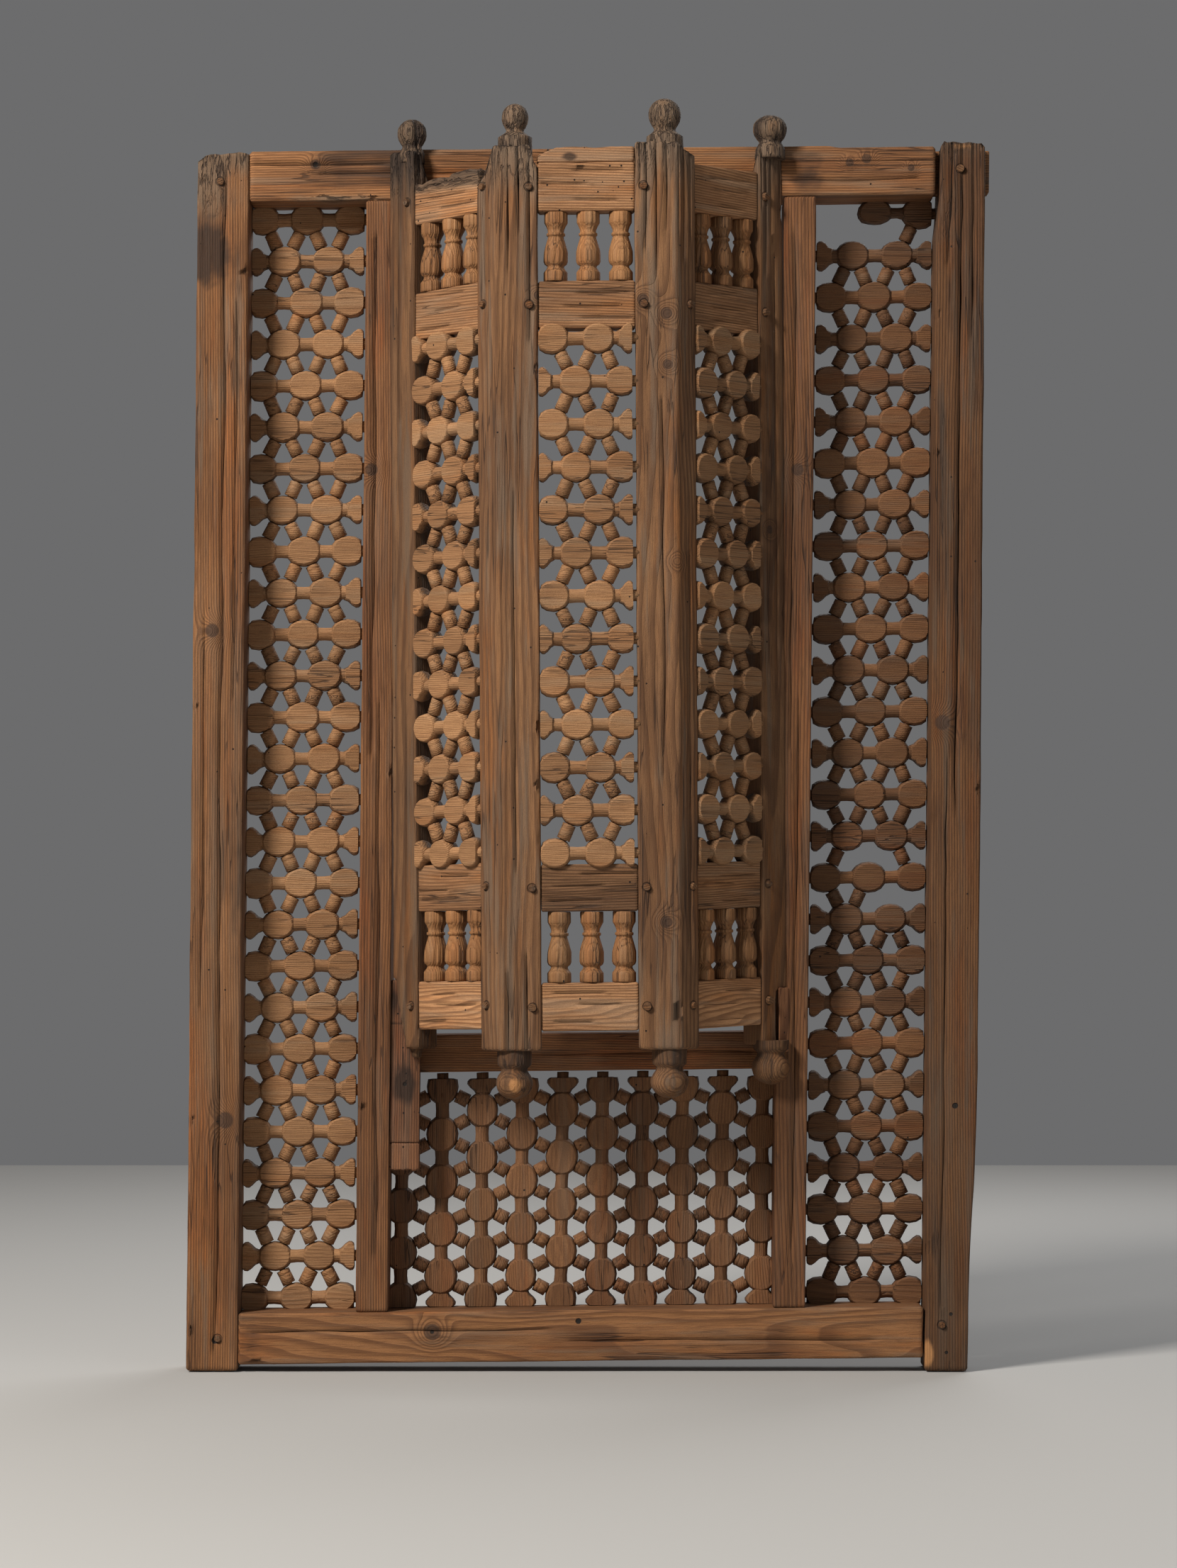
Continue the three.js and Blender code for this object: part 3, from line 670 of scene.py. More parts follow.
for name, work in stileWork.items():
    seed = work["seed"]
    wood = makeWood(name + "Wood", "stile", knots=work["knots"], spots=work["spots"],
                    collars=work["pegs"], beetle=0.06, tint=work["tint"], swirl=0.8)
    points, faces, cavity = sweepBoard(stileRings(name, work["full"]), 0.0045, 0.0060, 0.0032,
                                       work["cracks"], seed)
    points[:, 2] = np.minimum(points[:, 2], np.interp(points[:, 0], *np.array(work["topLine"]).T))
    top = points[:, 2].max()
    split = np.clip((points[:, 2] - top + 0.035) / 0.035, 0, 1)
    points[:, 2] += split * 0.0035 * layeredNoise(points * np.array([160.0, 60.0, 0.0]), seed + 2, 3)
    points, wearAndShade = weather(points, faces, cavity, seed, uneven=0.0009, rough=0.00035, grey=0.28)
    wearAndShade[:, 1] += split * 0.5
    for channel, centre, size, amount in work["patches"]:
        paintPatch(points, wearAndShade, channel, centre, size, amount, seed)
    makePiece(name + "_wood", points, faces, wood, [name], wearAndShade)
print("outer stiles ready")


# frame rails and inner stiles

topRailWork = {
    "cracks": [
        Crack(0, 0.72, 0.00, 0.20, 0.0012, 0.012, 0.002),
        Crack(0, 0.52, 0.10, 0.34, 0.0008, 0.006, 0.003),
        Crack(0, 0.30, 0.62, 0.97, 0.0009, 0.007, 0.004),
        Crack(0, 0.66, 0.74, 1.00, 0.0009, 0.008, 0.003),
    ],
    "knots": [((-0.345, -0.08, 1.528), 0.0075), ((0.374, -0.08, 1.536), 0.007),
              ((0.352, -0.08, 1.531), 0.006), ((0.432, -0.08, 1.524), 0.005)],
    "spots": [((-0.345, -0.0802, 1.528), 0.0040)],
    "stepFrom": 0.325, "stepDrop": 0.0024,
}


# starts each ring at its lower front corner, so side 0 is always the front face
def orderFromFront(ring):
    centre = ring.mean(axis=0)
    front = sorted(range(4), key=lambda i: ring[i][1])[:2]
    first = min(front, key=lambda i: ring[i][2])
    ordered = [ring[(first + k) % 4] for k in range(4)]
    if ordered[1][2] < centre[2]:
        ordered = [ring[(first - k) % 4] for k in range(4)]
    return np.array(ordered)


def railBoard(name, cracks=(), seed=1, edge=0.0025, keep=None, paint=None, shape=None,
              direction=(1, 0, 0), grey=0.2, across=0.0045, along=0.0065):
    rings = [orderFromFront(ring) for ring in endRings(name, direction, keep)]
    points, faces, cavity = sweepBoard(rings, across, along, edge, cracks, seed)
    if shape is not None:
        points = shape(points)
    points, wearAndShade = weather(points, faces, cavity, seed, grainAxis=0, grey=grey)
    if paint is not None:
        paint(points, wearAndShade)
    return points, faces, wearAndShade


def topRailPaint(points, wearAndShade):
    wavy = 1.4935 + 0.006 * layeredNoise(points * np.array([28.0, 0.0, 0.0]), 41, 2)
    above = np.clip((points[:, 2] - wavy) / 0.004, 0, 1)
    along = np.clip((points[:, 0] + 0.385) / 0.07, 0, 1) * np.clip((-0.20 - points[:, 0]) / 0.03, 0, 1)
    wearAndShade[:, 0] += above * along * (0.62 + 0.35 * layeredNoise(points * np.array([14.0, 20.0, 60.0]), 42, 3))
    paintPatch(points, wearAndShade, 0, (0.30, -0.08, 1.515), (0.030, 0.05, 0.035), 0.70)
    paintPatch(points, wearAndShade, 1, (-0.32, -0.08, 1.484), (0.070, 0.04, 0.007), 0.55)
    # the rail's underside is painted darker: painted shade
    under = points[:, 2] < 1.4795
    wearAndShade[under, 0] += 0.35


def topRailShape(points):
    step = np.clip((points[:, 0] - topRailWork["stepFrom"]) / 0.012, 0, 1)
    step *= np.clip((points[:, 2] - 1.535) / 0.01, 0, 1)
    points[:, 2] -= step * topRailWork["stepDrop"]
    return points


def topRailTenon():
    rings = endRings("top_rail", (1, 0, 0), keep=lambda p: (p[:, 1] > -0.06) & (p[:, 1] < -0.02))
    points, faces, cavity = sweepBoard([orderFromFront(ring) for ring in rings], 0.005, 0.008, 0.0015, (), 5)
    return points, faces, np.tile([0.35, 0.30, 0.0], (len(points), 1))


railWood = makeWood("topRailWood", "rail", knots=topRailWork["knots"], spots=topRailWork["spots"],
                    beetle=0.05)
board = railBoard("top_rail", topRailWork["cracks"], 31, 0.0035, paint=topRailPaint, shape=topRailShape,
                  keep=lambda p: np.abs(p[:, 1] + 0.04) > 0.03)
points, faces, wearAndShade = joinParts([board, topRailTenon()])
makePiece("top_rail_wood", points, faces, railWood, ["top_rail"], wearAndShade)

bottomWood = makeWood("bottomRailWood", "rail", knots=[((-0.193, -0.08, 0.005), 0.012)],
                      spots=[((-0.002, -0.0802, 0.019), 0.0042), ((-0.193, -0.0802, 0.005), 0.0028)],
                      tint=0.86, swirl=1.3)
bottomCracks = [
    Crack(0, 0.62, 0.02, 0.45, 0.0009, 0.007, 0.004),
    Crack(0, 0.38, 0.48, 0.93, 0.0009, 0.007, 0.004),
]


def bottomPaint(points, wearAndShade):
    paintPatch(points, wearAndShade, 1, (0.40, -0.08, 0.02), (0.05, 0.05, 0.020), 0.28)
    paintPatch(points, wearAndShade, 0, (-0.43, -0.08, 0.0), (0.02, 0.05, 0.04), 0.45)


points, faces, wearAndShade = railBoard("bottom_rail", bottomCracks, 41, 0.0030, paint=bottomPaint)
makePiece("bottom_rail_wood", points, faces, bottomWood, ["bottom_rail"], wearAndShade)

middleWood = makeWood("middleRailWood", "inner", grain="x", tint=0.98)
points, faces, wearAndShade = railBoard("middle_rail", [
    Crack(0, 0.45, 0.35, 0.95, 0.0008, 0.006, 0.004)], 43)
makePiece("middle_rail_wood", points, faces, middleWood, ["middle_rail"], wearAndShade)

innerCracks = [
    Crack(0, 0.6, 0.05, 0.55, 0.0008, 0.007, 0.004),
    Crack(0, 0.35, 0.50, 0.97, 0.0008, 0.007, 0.004),
]
innerWork = (("left_inner_stile", 0.88, 51, -0.272), ("right_inner_stile", 0.80, 53, 0.284))
for name, tint, seed, knotX in innerWork:
    wood = makeWood(name + "Wood", "inner", tint=tint, knots=[((knotX, -0.08, 1.13), 0.009)])
    ends = [ring[np.lexsort((ring[:, 0], ring[:, 1]))][[0, 1, 3, 2]] for ring in endRings(name, (0, 0, 1))]
    points, faces, cavity = sweepBoard(ends, 0.0045, 0.0075, 0.0025, innerCracks, seed)
    points, wearAndShade = weather(points, faces, cavity, seed, grey=0.15)
    makePiece(name + "_wood", points, faces, wood, [name], wearAndShade)
print("rails and inner stiles ready")


# bay: where its faces stand

bay = {
    "arris": 0.115, "offset": 0.0106, "lean": -0.005, "leanHeight": 0.958,
    "frameFront": -0.080, "datum": 0.0473, "rise": 0.0103, "sideRise": 0.025, "leftLift": 0.0035,
}
bayFaces = {
    "front": {"start": (-0.115, -0.142), "turn": 0.0, "length": 0.230, "ends": (0.053, 0.053)},
    "left": {"start": (-0.257, 0.0), "turn": -math.pi / 4, "length": 0.2008, "ends": (0.046, 0.035)},
    "right": {"start": (0.115, -0.142), "turn": math.pi / 4, "length": 0.2008, "ends": (0.035, 0.046)},
}
bayLevels = {
    "head": (1.493, 1.555), "upper": (1.344, 1.404), "lower": (0.602, 0.662), "foot": (0.4495, 0.511),
}


# from a face's own measures (along it, inwards, up from the feet) to the place in the frame
def bayPlace(faceName, points):
    face = bayFaces[faceName]
    c, s = math.cos(face["turn"]), math.sin(face["turn"])
    x = face["start"][0] + c * points[:, 0] - s * points[:, 1]
    y = face["start"][1] + s * points[:, 0] + c * points[:, 1]
    z = points[:, 2].copy()
    if faceName != "front":
        hinge = -bay["arris"] if faceName == "left" else bay["arris"]
        z += bay["sideRise"] * (x - hinge) + (bay["leftLift"] if faceName == "left" else 0.0)
    z += bay["rise"] * x
    x = x + bay["offset"] - bay["lean"] * (bay["leanHeight"] - points[:, 2])
    return np.stack([x, y + bay["frameFront"], z - bay["datum"]], axis=1)


# pegs that hold the rails, their heads nearly flush
pegWork = {
    "radius": 0.0052, "length": 0.006, "proud": 0.0004, "inPost": 0.011, "seed": 401,
    "missing": {("left", "upper", 0), ("left", "lower", 0), ("right", "head", 0)},
    "framePegs": [(-0.469, -0.080, 1.506), (-0.473, -0.080, -0.004),
                  (0.496, -0.080, 1.523), (0.472, -0.080, 0.014)],
}

pegPlaces, pegFacing = [], []
for faceName, face in bayFaces.items():
    for levelName, (low, high) in bayLevels.items():
        for end in (0, 1):
            if (faceName, levelName, end) in pegWork["missing"]:
                continue
            along = face["ends"][0] - pegWork["inPost"]
            if end:
                along = face["length"] - face["ends"][1] + pegWork["inPost"]
            spot = np.array([[along, -pegWork["proud"] + 0.002, (low + high) / 2]])
            pegPlaces.append(tuple(bayPlace(faceName, spot)[0]))
            pegFacing.append((math.sin(face["turn"]), -math.cos(face["turn"]), 0.0))
for x, y, z in pegWork["framePegs"]:
    pegPlaces.append((x, y - pegWork["proud"] + 0.002, z))
    pegFacing.append((0.0, -1.0, 0.0))


# posts

# finial and pendant profiles are (radius, height) shares of the ball's radius and half height
finialShape = [
    (0.00, 1.00), (0.30, 0.96), (0.56, 0.84), (0.78, 0.64), (0.93, 0.38), (1.00, 0.08), (0.99, -0.20),
    (0.92, -0.48), (0.80, -0.72), (0.68, -0.90), (0.66, -1.02), (0.74, -1.14),
]
pendantShape = [
    (0.00, -1.00), (0.30, -0.95), (0.56, -0.82), (0.78, -0.62), (0.93, -0.34), (1.00, -0.02),
    (0.98, 0.26), (0.88, 0.54), (0.74, 0.78), (0.70, 0.92), (0.72, 1.02), (0.90, 1.22), (0.93, 1.75),
    (0.93, 2.6),
]

postWork = {
    "bay_post_1": {
        "firstCorner": (-0.245, -0.080), "top": 1.5425, "seed": 61,
        "ball": (0.0190, 0.0184), "collar": 0.0165, "neckTo": 1.540, "foot": None,
        "topLine": [(-0.262, 1.540), (-0.222, 1.543), (-0.208, 1.543), (-0.200, 1.505),
                    (-0.170, 1.48)],
        "cracks": [
            Crack(0, 0.35, 0.70, 1.0, 0.0016, 0.014, 0.003),
            Crack(0, 0.68, 0.82, 1.0, 0.0014, 0.012, 0.003),
            Crack(0, 0.55, 0.05, 0.42, 0.0009, 0.008, 0.003),
        ],
        "knots": [], "greyTop": 0.22, "stainTop": 0.62, "decay": 1.00, "tint": 0.58,
    },
    "bay_post_2": {
        "firstCorner": (-0.107, -0.222), "top": 1.5320, "seed": 67,
        "ball": (0.0172, 0.0175), "collar": 0.0215, "neckTo": 1.530, "foot": (0.0238, 0.0200),
        "topLine": [(-0.135, 1.470), (-0.118, 1.500), (-0.1115, 1.528), (-0.064, 1.530),
                    (-0.060, 1.508), (-0.050, 1.496)],
        "cracks": [
            Crack(0, 0.30, 0.86, 1.0, 0.0016, 0.016, 0.002),
            Crack(0, 0.55, 0.90, 1.0, 0.0016, 0.014, 0.002),
            Crack(0, 0.80, 0.78, 1.0, 0.0012, 0.012, 0.002),
            Crack(0, 0.42, 0.20, 0.62, 0.0008, 0.008, 0.004),
            Crack(0, 0.68, 0.00, 0.11, 0.0016, 0.014, 0.002),
            Crack(0, 0.22, 0.00, 0.09, 0.0014, 0.012, 0.002),
            Crack(4, 0.45, 0.84, 1.0, 0.0014, 0.012, 0.002),
        ],
        "knots": [((-0.052, -0.222, 1.338), 0.0070)],
        "greyTop": 0.17, "stainTop": 0.32, "decay": 0.80, "tint": 0.82,
    },
    "bay_post_3": {
        "firstCorner": (0.070, -0.222), "top": 1.5340, "seed": 71,
        "ball": (0.0208, 0.0200), "collar": 0.0235, "neckTo": 1.532, "foot": (0.0243, 0.0200),
        "topLine": [(0.060, 1.533), (0.075, 1.5345), (0.122, 1.5345), (0.132, 1.527), (0.142, 1.520),
                    (0.16, 1.52)],
        "cracks": [
            Crack(0, 0.26, 0.88, 1.0, 0.0014, 0.014, 0.002),
            Crack(0, 0.52, 0.85, 1.0, 0.0016, 0.015, 0.002),
            Crack(0, 0.76, 0.90, 1.0, 0.0014, 0.014, 0.002),
            Crack(0, 0.64, 0.30, 0.72, 0.0008, 0.008, 0.004),
            Crack(1, 0.40, 0.87, 1.0, 0.0014, 0.013, 0.002),
            Crack(1, 0.60, 0.10, 0.55, 0.0008, 0.008, 0.003),
        ],
        "knots": [((0.080, -0.222, 1.333), 0.0080), ((0.110, -0.222, 1.315), 0.0085),
                  ((0.112, -0.222, 1.250), 0.0070), ((0.110, -0.222, 0.541), 0.0085),
                  ((0.122, -0.215, 1.00), 0.0060)],
        "greyTop": 0.15, "stainTop": 0.26, "decay": 0.70, "tint": 0.78,
    },
    "bay_post_4": {
        "firstCorner": (0.232, -0.1125), "top": 1.5470, "seed": 73,
        "ball": (0.0222, 0.0180), "collar": 0.0195, "neckTo": 1.545, "foot": (0.0250, 0.0210),
        "topLine": [(0.195, 1.488), (0.222, 1.503), (0.232, 1.546), (0.275, 1.547)],
        "cracks": [
            Crack(0, 0.30, 0.86, 1.0, 0.0015, 0.014, 0.002),
            Crack(0, 0.66, 0.40, 0.88, 0.0010, 0.009, 0.003),
        ],
        "knots": [((0.246, -0.10, 1.05), 0.0060)],
        "greyTop": 0.14, "stainTop": 0.26, "decay": 0.75, "tint": 0.70,
    },
}


# a profile of (radius, height) turned about an upright axis, with dried-out valleys down its flanks
def turnedShape(profile, centre, segments, seed, crack=0.0, fine=0.0004):
    smooth = [profile[0]]
    for (r0, z0), (r1, z1) in zip(profile, profile[1:]):
        steps = max(1, int(math.hypot(r1 - r0, z1 - z0) / 0.0035))
        smooth += [(r0 + (r1 - r0) * k / steps, z0 + (z1 - z0) * k / steps) for k in range(1, steps + 1)]
    angles = np.linspace(0, 2 * math.pi, segments, endpoint=False)
    body = [p for p in smooth if p[0] > 1e-6]
    radii, heights = np.array(body).T
    turnX, turnY = np.cos(angles), np.sin(angles)
    ring = np.stack([np.outer(radii, turnX), np.outer(radii, turnY),
                     np.repeat(heights[:, None], segments, 1)], axis=-1)
    around = np.stack([np.tile(turnX * 2.4, len(radii)), np.tile(turnY * 2.4, len(radii)),
                       np.repeat(heights * 9.0, segments)], axis=1)
    valley = np.clip(1 - np.abs(layeredNoise(around, seed, 2)) / 0.11, 0, 1)
    valley *= np.clip(layeredNoise(around * 0.7 + 9.0, seed + 3, 2) + 0.35, 0, 1)
    flatPoints = ring.reshape(-1, 3)
    outward = flatPoints * np.array([1, 1, 0])
    outward /= np.maximum(np.linalg.norm(outward, axis=1), 1e-9)[:, None]
    depth = np.minimum(crack * valley, 0.6 * np.repeat(radii, segments))
    roughness = layeredNoise(flatPoints * 150.0 + 5.0, seed + 8, 3) * fine
    flatPoints = flatPoints + outward * (roughness - depth)[:, None]
    index = np.arange(len(radii) * segments).reshape(len(radii), segments)
    right = np.roll(index, -1, axis=1)
    faces = [np.stack([index[:-1], right[:-1], right[1:], index[1:]], axis=-1).reshape(-1, 4)]
    points = [flatPoints]
    total = len(flatPoints)
    for row, height in ((0, smooth[0][1]), (-1, smooth[-1][1])):
        pole = np.full(segments, total)
        faces.append(np.stack([index[row], right[row], pole, pole], axis=-1))
        points.append(np.array([[0.0, 0.0, height]]))
        total += 1
    # the valleys' depth, kept to paint shade into them
    cavity = np.concatenate([valley, [0, 0]])
    return np.concatenate(points) + np.array(centre), np.concatenate(faces), cavity


# the post's section, leaning as the CAD post leans
def postRings(name, work, low, high):
    lower, upper = sliceNode(name, 0.90), sliceNode(name, 1.20)
    shift = (upper.mean(axis=0) - lower.mean(axis=0)) / 0.30
    first = int(np.argmin(np.linalg.norm(lower - np.array(work["firstCorner"]), axis=1)))
    lower = np.roll(lower, -first, axis=0)
    return [[(x, y, z) for x, y in lower + shift * (z - 0.90)] for z in np.linspace(low, high, 12)]


# fine cracks that run down from the weathered top, between the large ones
def topCracks(seed, large):
    draw = np.random.default_rng(seed)
    cracks = []
    for side in (0, 1):
        for k in range(7):
            at = (k + 1) / 8
            start, depth = 1 - draw.uniform(0.03, 0.11), draw.uniform(0.006, 0.012)
            if all(c.side != side or abs(c.at - at) > 0.125 for c in large + cracks):
                cracks.append(Crack(side, at, start, 1.0, 0.0007, depth, 0.0004))
    return cracks


patchWork = {"inner": 0.2560, "top": 0.4545}
wornFoot = [(0.374, -0.2262), (0.392, -0.2289), (0.437, -0.2365), (0.4665, -0.2393)]  # (height, outer edge)


# cuts away what the two back posts have lost at their feet
def loseFoot(name, points):
    if name == "bay_post_4":
        lost = (points[:, 2] < patchWork["top"]) & (points[:, 0] > patchWork["inner"])
        points[lost, 0] = patchWork["inner"]
    if name == "bay_post_1":
        edge = np.interp(points[:, 2], *np.array(wornFoot).T)
        edge += 0.0006 * layeredNoise(points * np.array([0.0, 60.0, 120.0]), 63, 2)
        points[:, 0] = np.where(points[:, 2] < wornFoot[-1][0], np.maximum(points[:, 0], edge), points[:, 0])


def postShaft(name, work, low):
    seed, grey = work["seed"], 0.5 * work["greyTop"]
    points, faces, cavity = sweepBoard(postRings(name, work, low, work["top"]), 0.0042, 0.0058, 0.0028,
                                       work["cracks"] + topCracks(seed, work["cracks"]), seed)
    # the top has crumbled down to a ragged line
    limit = np.interp(points[:, 0], *np.array(work["topLine"]).T)
    limit += 0.0030 * layeredNoise(points * np.array([190.0, 120.0, 0.0]), seed + 4, 3)
    over = points[:, 2] > limit
    points[:, 2] = np.where(over, limit - 0.25 * (limit - np.minimum(limit, points[:, 2])), points[:, 2])
    loseFoot(name, points)
    decayed = np.clip((points[:, 2] - (work["top"] - grey)) / grey, 0, 1) ** 0.6 * work["decay"]
    points, wearAndShade = weather(points, faces, cavity, seed, uneven=0.0008, rough=0.00035, grey=0.22)
    crumbs = layeredNoise(points * np.array([150.0, 150.0, 30.0]), seed + 12, 3) - 0.25
    points += vertexNormals(points, faces) * (decayed * crumbs * 0.0028)[:, None]
    wearAndShade[:, 1] += decayed * 0.75
    wearAndShade[:, 0] += decayed * work["stainTop"]
    streaks = layeredNoise(points * np.array([120.0, 120.0, 14.0]), seed + 6, 3)
    wearAndShade[:, 0] += decayed * np.clip(streaks, 0, 1) * 0.9
    wearAndShade[:, 2] += decayed * np.clip(-streaks - 0.18, 0, 1) * 1.6
    wearAndShade[over, 0] += 0.30
    # painted shade at the post's foot, darker over its lowest 50 mm
    wearAndShade[:, 0] += np.clip((low + 0.05 - points[:, 2]) / 0.05, 0, 1) * 0.22
    return points, faces, wearAndShade


def postHead(work, apex):
    radius, half = work["ball"]
    centre = (apex[0], apex[1], apex[2] - half)
    profile = [(r * radius, z * half) for r, z in finialShape]
    base = work["neckTo"] - 0.012 - centre[2]
    shoulder, collar = profile[-1][1], work["collar"]
    if base < shoulder - 0.004:
        profile += [(collar, max(shoulder - 0.006, base + 0.003)), (collar * 1.04, base), (0.0, base)]
    else:
        profile += [(collar * 0.8, shoulder - 0.006), (0.0, shoulder - 0.006)]
    points, faces, cavity = turnedShape(profile, centre, 44, work["seed"], crack=0.0042, fine=0.0007)
    wearAndShade = np.zeros((len(points), 3))
    # red: painted shade in the finial's valleys, over a noisy stain
    wearAndShade[:, 0] = cavity * 0.9 + 0.24 + 0.5 * layeredNoise(points * np.array([130.0, 130.0, 22.0]), 91, 3)
    wearAndShade[:, 1] = 0.72
    wearAndShade[:, 2] = np.clip(layeredNoise(points * np.array([90.0, 90.0, 40.0]), 93, 3) - 0.1, 0, 1) * 0.9
    return points, faces, wearAndShade


def postPendant(name, work, lowest, low):
    radius, half = work["foot"]
    centre = (lowest[0], lowest[1], lowest[2] + half)
    rise = low + 0.006 - centre[2]
    profile = [(r * radius, z * half) for r, z in pendantShape if z * half < rise]
    profile += [(profile[-1][0], rise), (0.0, rise)]
    points, faces, cavity = turnedShape(profile, centre, 40, work["seed"] + 9, crack=0.0018, fine=0.0005)
    wearAndShade = np.zeros((len(points), 3))
    # red: painted shade in the valleys and towards the top where the pendant meets the post, over a stain
    wearAndShade[:, 0] = cavity * 0.7 + 0.22 + np.clip((points[:, 2] - centre[2]) / 0.06, 0, 0.3)
    if name == "bay_post_2":
        bare = (centre[0], centre[1] - radius, centre[2] - 0.001)
        paintPatch(points, wearAndShade, 2, bare, (0.010, 0.02, 0.010), 1.2)
    return points, faces, wearAndShade


# what is left of the first post's broken pendant
def postStub(lowest, low):
    profile = [(0.0, -0.013), (0.006, -0.011), (0.0075, -0.002), (0.0078, 0.006), (0.0, 0.006)]
    points, faces, cavity = turnedShape(profile, (lowest[0], lowest[1], low), 14, 7, fine=0.0008)
    return points, faces, np.tile([0.35, 0.0, 0.0], (len(points), 1))


for name, work in postWork.items():
    corners = nodePoints(name)
    apex, lowest = corners[corners[:, 2].argmax()], corners[corners[:, 2].argmin()]
    low = 0.3777 + bay["rise"] * apex[0]
    ownPegs = [place for place in pegPlaces if math.dist(place[:2], apex[:2]) < 0.052]
    wood = makeWood(name + "Wood", "post", knots=work["knots"], tint=work["tint"], swirl=0.9, beetle=0.10,
                    collars=[(place, pegWork["radius"]) for place in ownPegs])
    foot = postPendant(name, work, lowest, low) if work["foot"] else postStub(lowest, low)
    points, faces, wearAndShade = joinParts([postShaft(name, work, low), postHead(work, apex), foot])
    makePiece(name + "_wood", points, faces, wood, [name], wearAndShade)
print("posts ready")


# bay rails, strip, patch and packing blocks

bayRailWork = {
    "tints": {"head": 0.98, "upper": 0.86, "lower": 0.80, "foot": 1.04},
    "faceTint": {"front": 0.98, "left": 1.12, "right": 1.10},
    "beetle": {"bay_front_head_rail": 0.75, "bay_left_head_rail": 0.70, "bay_right_head_rail": 0.25},
    "darker": {"bay_front_lower_rail": 0.66},
    "directions": {
        "front": (1, 0, 0),
        "left": (math.sqrt(0.5), -math.sqrt(0.5), 0),
        "right": (math.sqrt(0.5), math.sqrt(0.5), 0),
    },
}


def bayRailCracks(seed):
    draw = np.random.default_rng(seed)
    cracks = []
    for k in range(3):
        start = draw.uniform(0.0, 0.45)
        at = 0.22 + 0.28 * k + draw.uniform(-0.06, 0.06)
        cracks.append(Crack(0, at, start, start + draw.uniform(0.35, 0.6), 0.0007, 0.005, 0.003))
    return cracks


def leftHeadShape(points):
    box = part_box("bay_left_head_rail")
    share = np.clip((points[:, 0] - box[0][0]) / (box[1][0] - box[0][0]), 0, 1)
    high = np.clip((points[:, 2] - box[1][2] + 0.030) / 0.030, 0, 1)
    bite = np.clip(layeredNoise(points * np.array([60.0, 60.0, 10.0]), 88, 3) + 0.25, 0, 1)
    points[:, 2] -= high * (0.010 * (1 - share) + 0.008 * bite)
    points[:, 1] += high * bite * 0.006 * (1 - 0.5 * share)
    return points


for index, faceName in enumerate(("front", "left", "right")):
    for level, levelName in enumerate(("head", "upper", "lower", "foot")):
        name = f"bay_{faceName}_{levelName}_rail"
        seed = 100 + index * 10 + level
        tint = bayRailWork["tints"][levelName] * bayRailWork["faceTint"][faceName]
        tint *= bayRailWork["darker"].get(name, 1.0)
        wood = makeWood(name + "Wood", "bayRail", turn=bayFaces[faceName]["turn"], tint=tint,
                        beetle=bayRailWork["beetle"].get(name, 0.08), swirl=1.0 + 0.25 * level)
        points, faces, wearAndShade = railBoard(
            name, bayRailCracks(seed), seed, 0.0022,
            direction=bayRailWork["directions"][faceName], across=0.0036, along=0.0045,
            shape=leftHeadShape if name == "bay_left_head_rail" else None, grey=0.15,
        )
        if name == "bay_left_head_rail":
            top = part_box(name)[1][2]
            high = np.clip((points[:, 2] - top + 0.036) / 0.014, 0, 1)
            wearAndShade[:, 0] += high * 0.62
            wearAndShade[:, 1] += 0.15 + high * 0.5
        makePiece(name + "_wood", points, faces, wood, [name], wearAndShade)

stripWood = makeWood("capStripWood", "bayRail", tint=0.95, beetle=0.6)
low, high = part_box("bay_front_cap_strip")
stripRings = []
for x in np.linspace(low[0] + 0.0003, high[0] - 0.0003, 26):
    share = (x - low[0]) / (high[0] - low[0])
    foot = low[2] + bay["rise"] * (x - low[0])
    ragged = 0.0022 * layeredNoise(np.array([[x * 120.0, 0.3, 0.7]]), 17, 2)[0]
    top = min(foot + 0.0195, foot + 0.010 + 0.045 * share) + ragged
    back = high[1] - 0.002
    stripRings.append([(x, low[1], foot), (x, back, foot), (x, back, top), (x, low[1] + 0.002, top)])
points, faces, cavity = sweepBoard([ring[::-1] for ring in stripRings], 0.0030, 0.0035, 0.0022, (), 19)
points, wearAndShade = weather(points, faces, cavity, 19, rough=0.0005, grainAxis=0, grey=0.55)
paintPatch(points, wearAndShade, 0, (-0.012, low[1], low[2] + 0.008), (0.012, 0.03, 0.006), 0.9)
makePiece("bay_front_cap_strip_wood", points, faces, stripWood, ["bay_front_cap_strip"], wearAndShade)

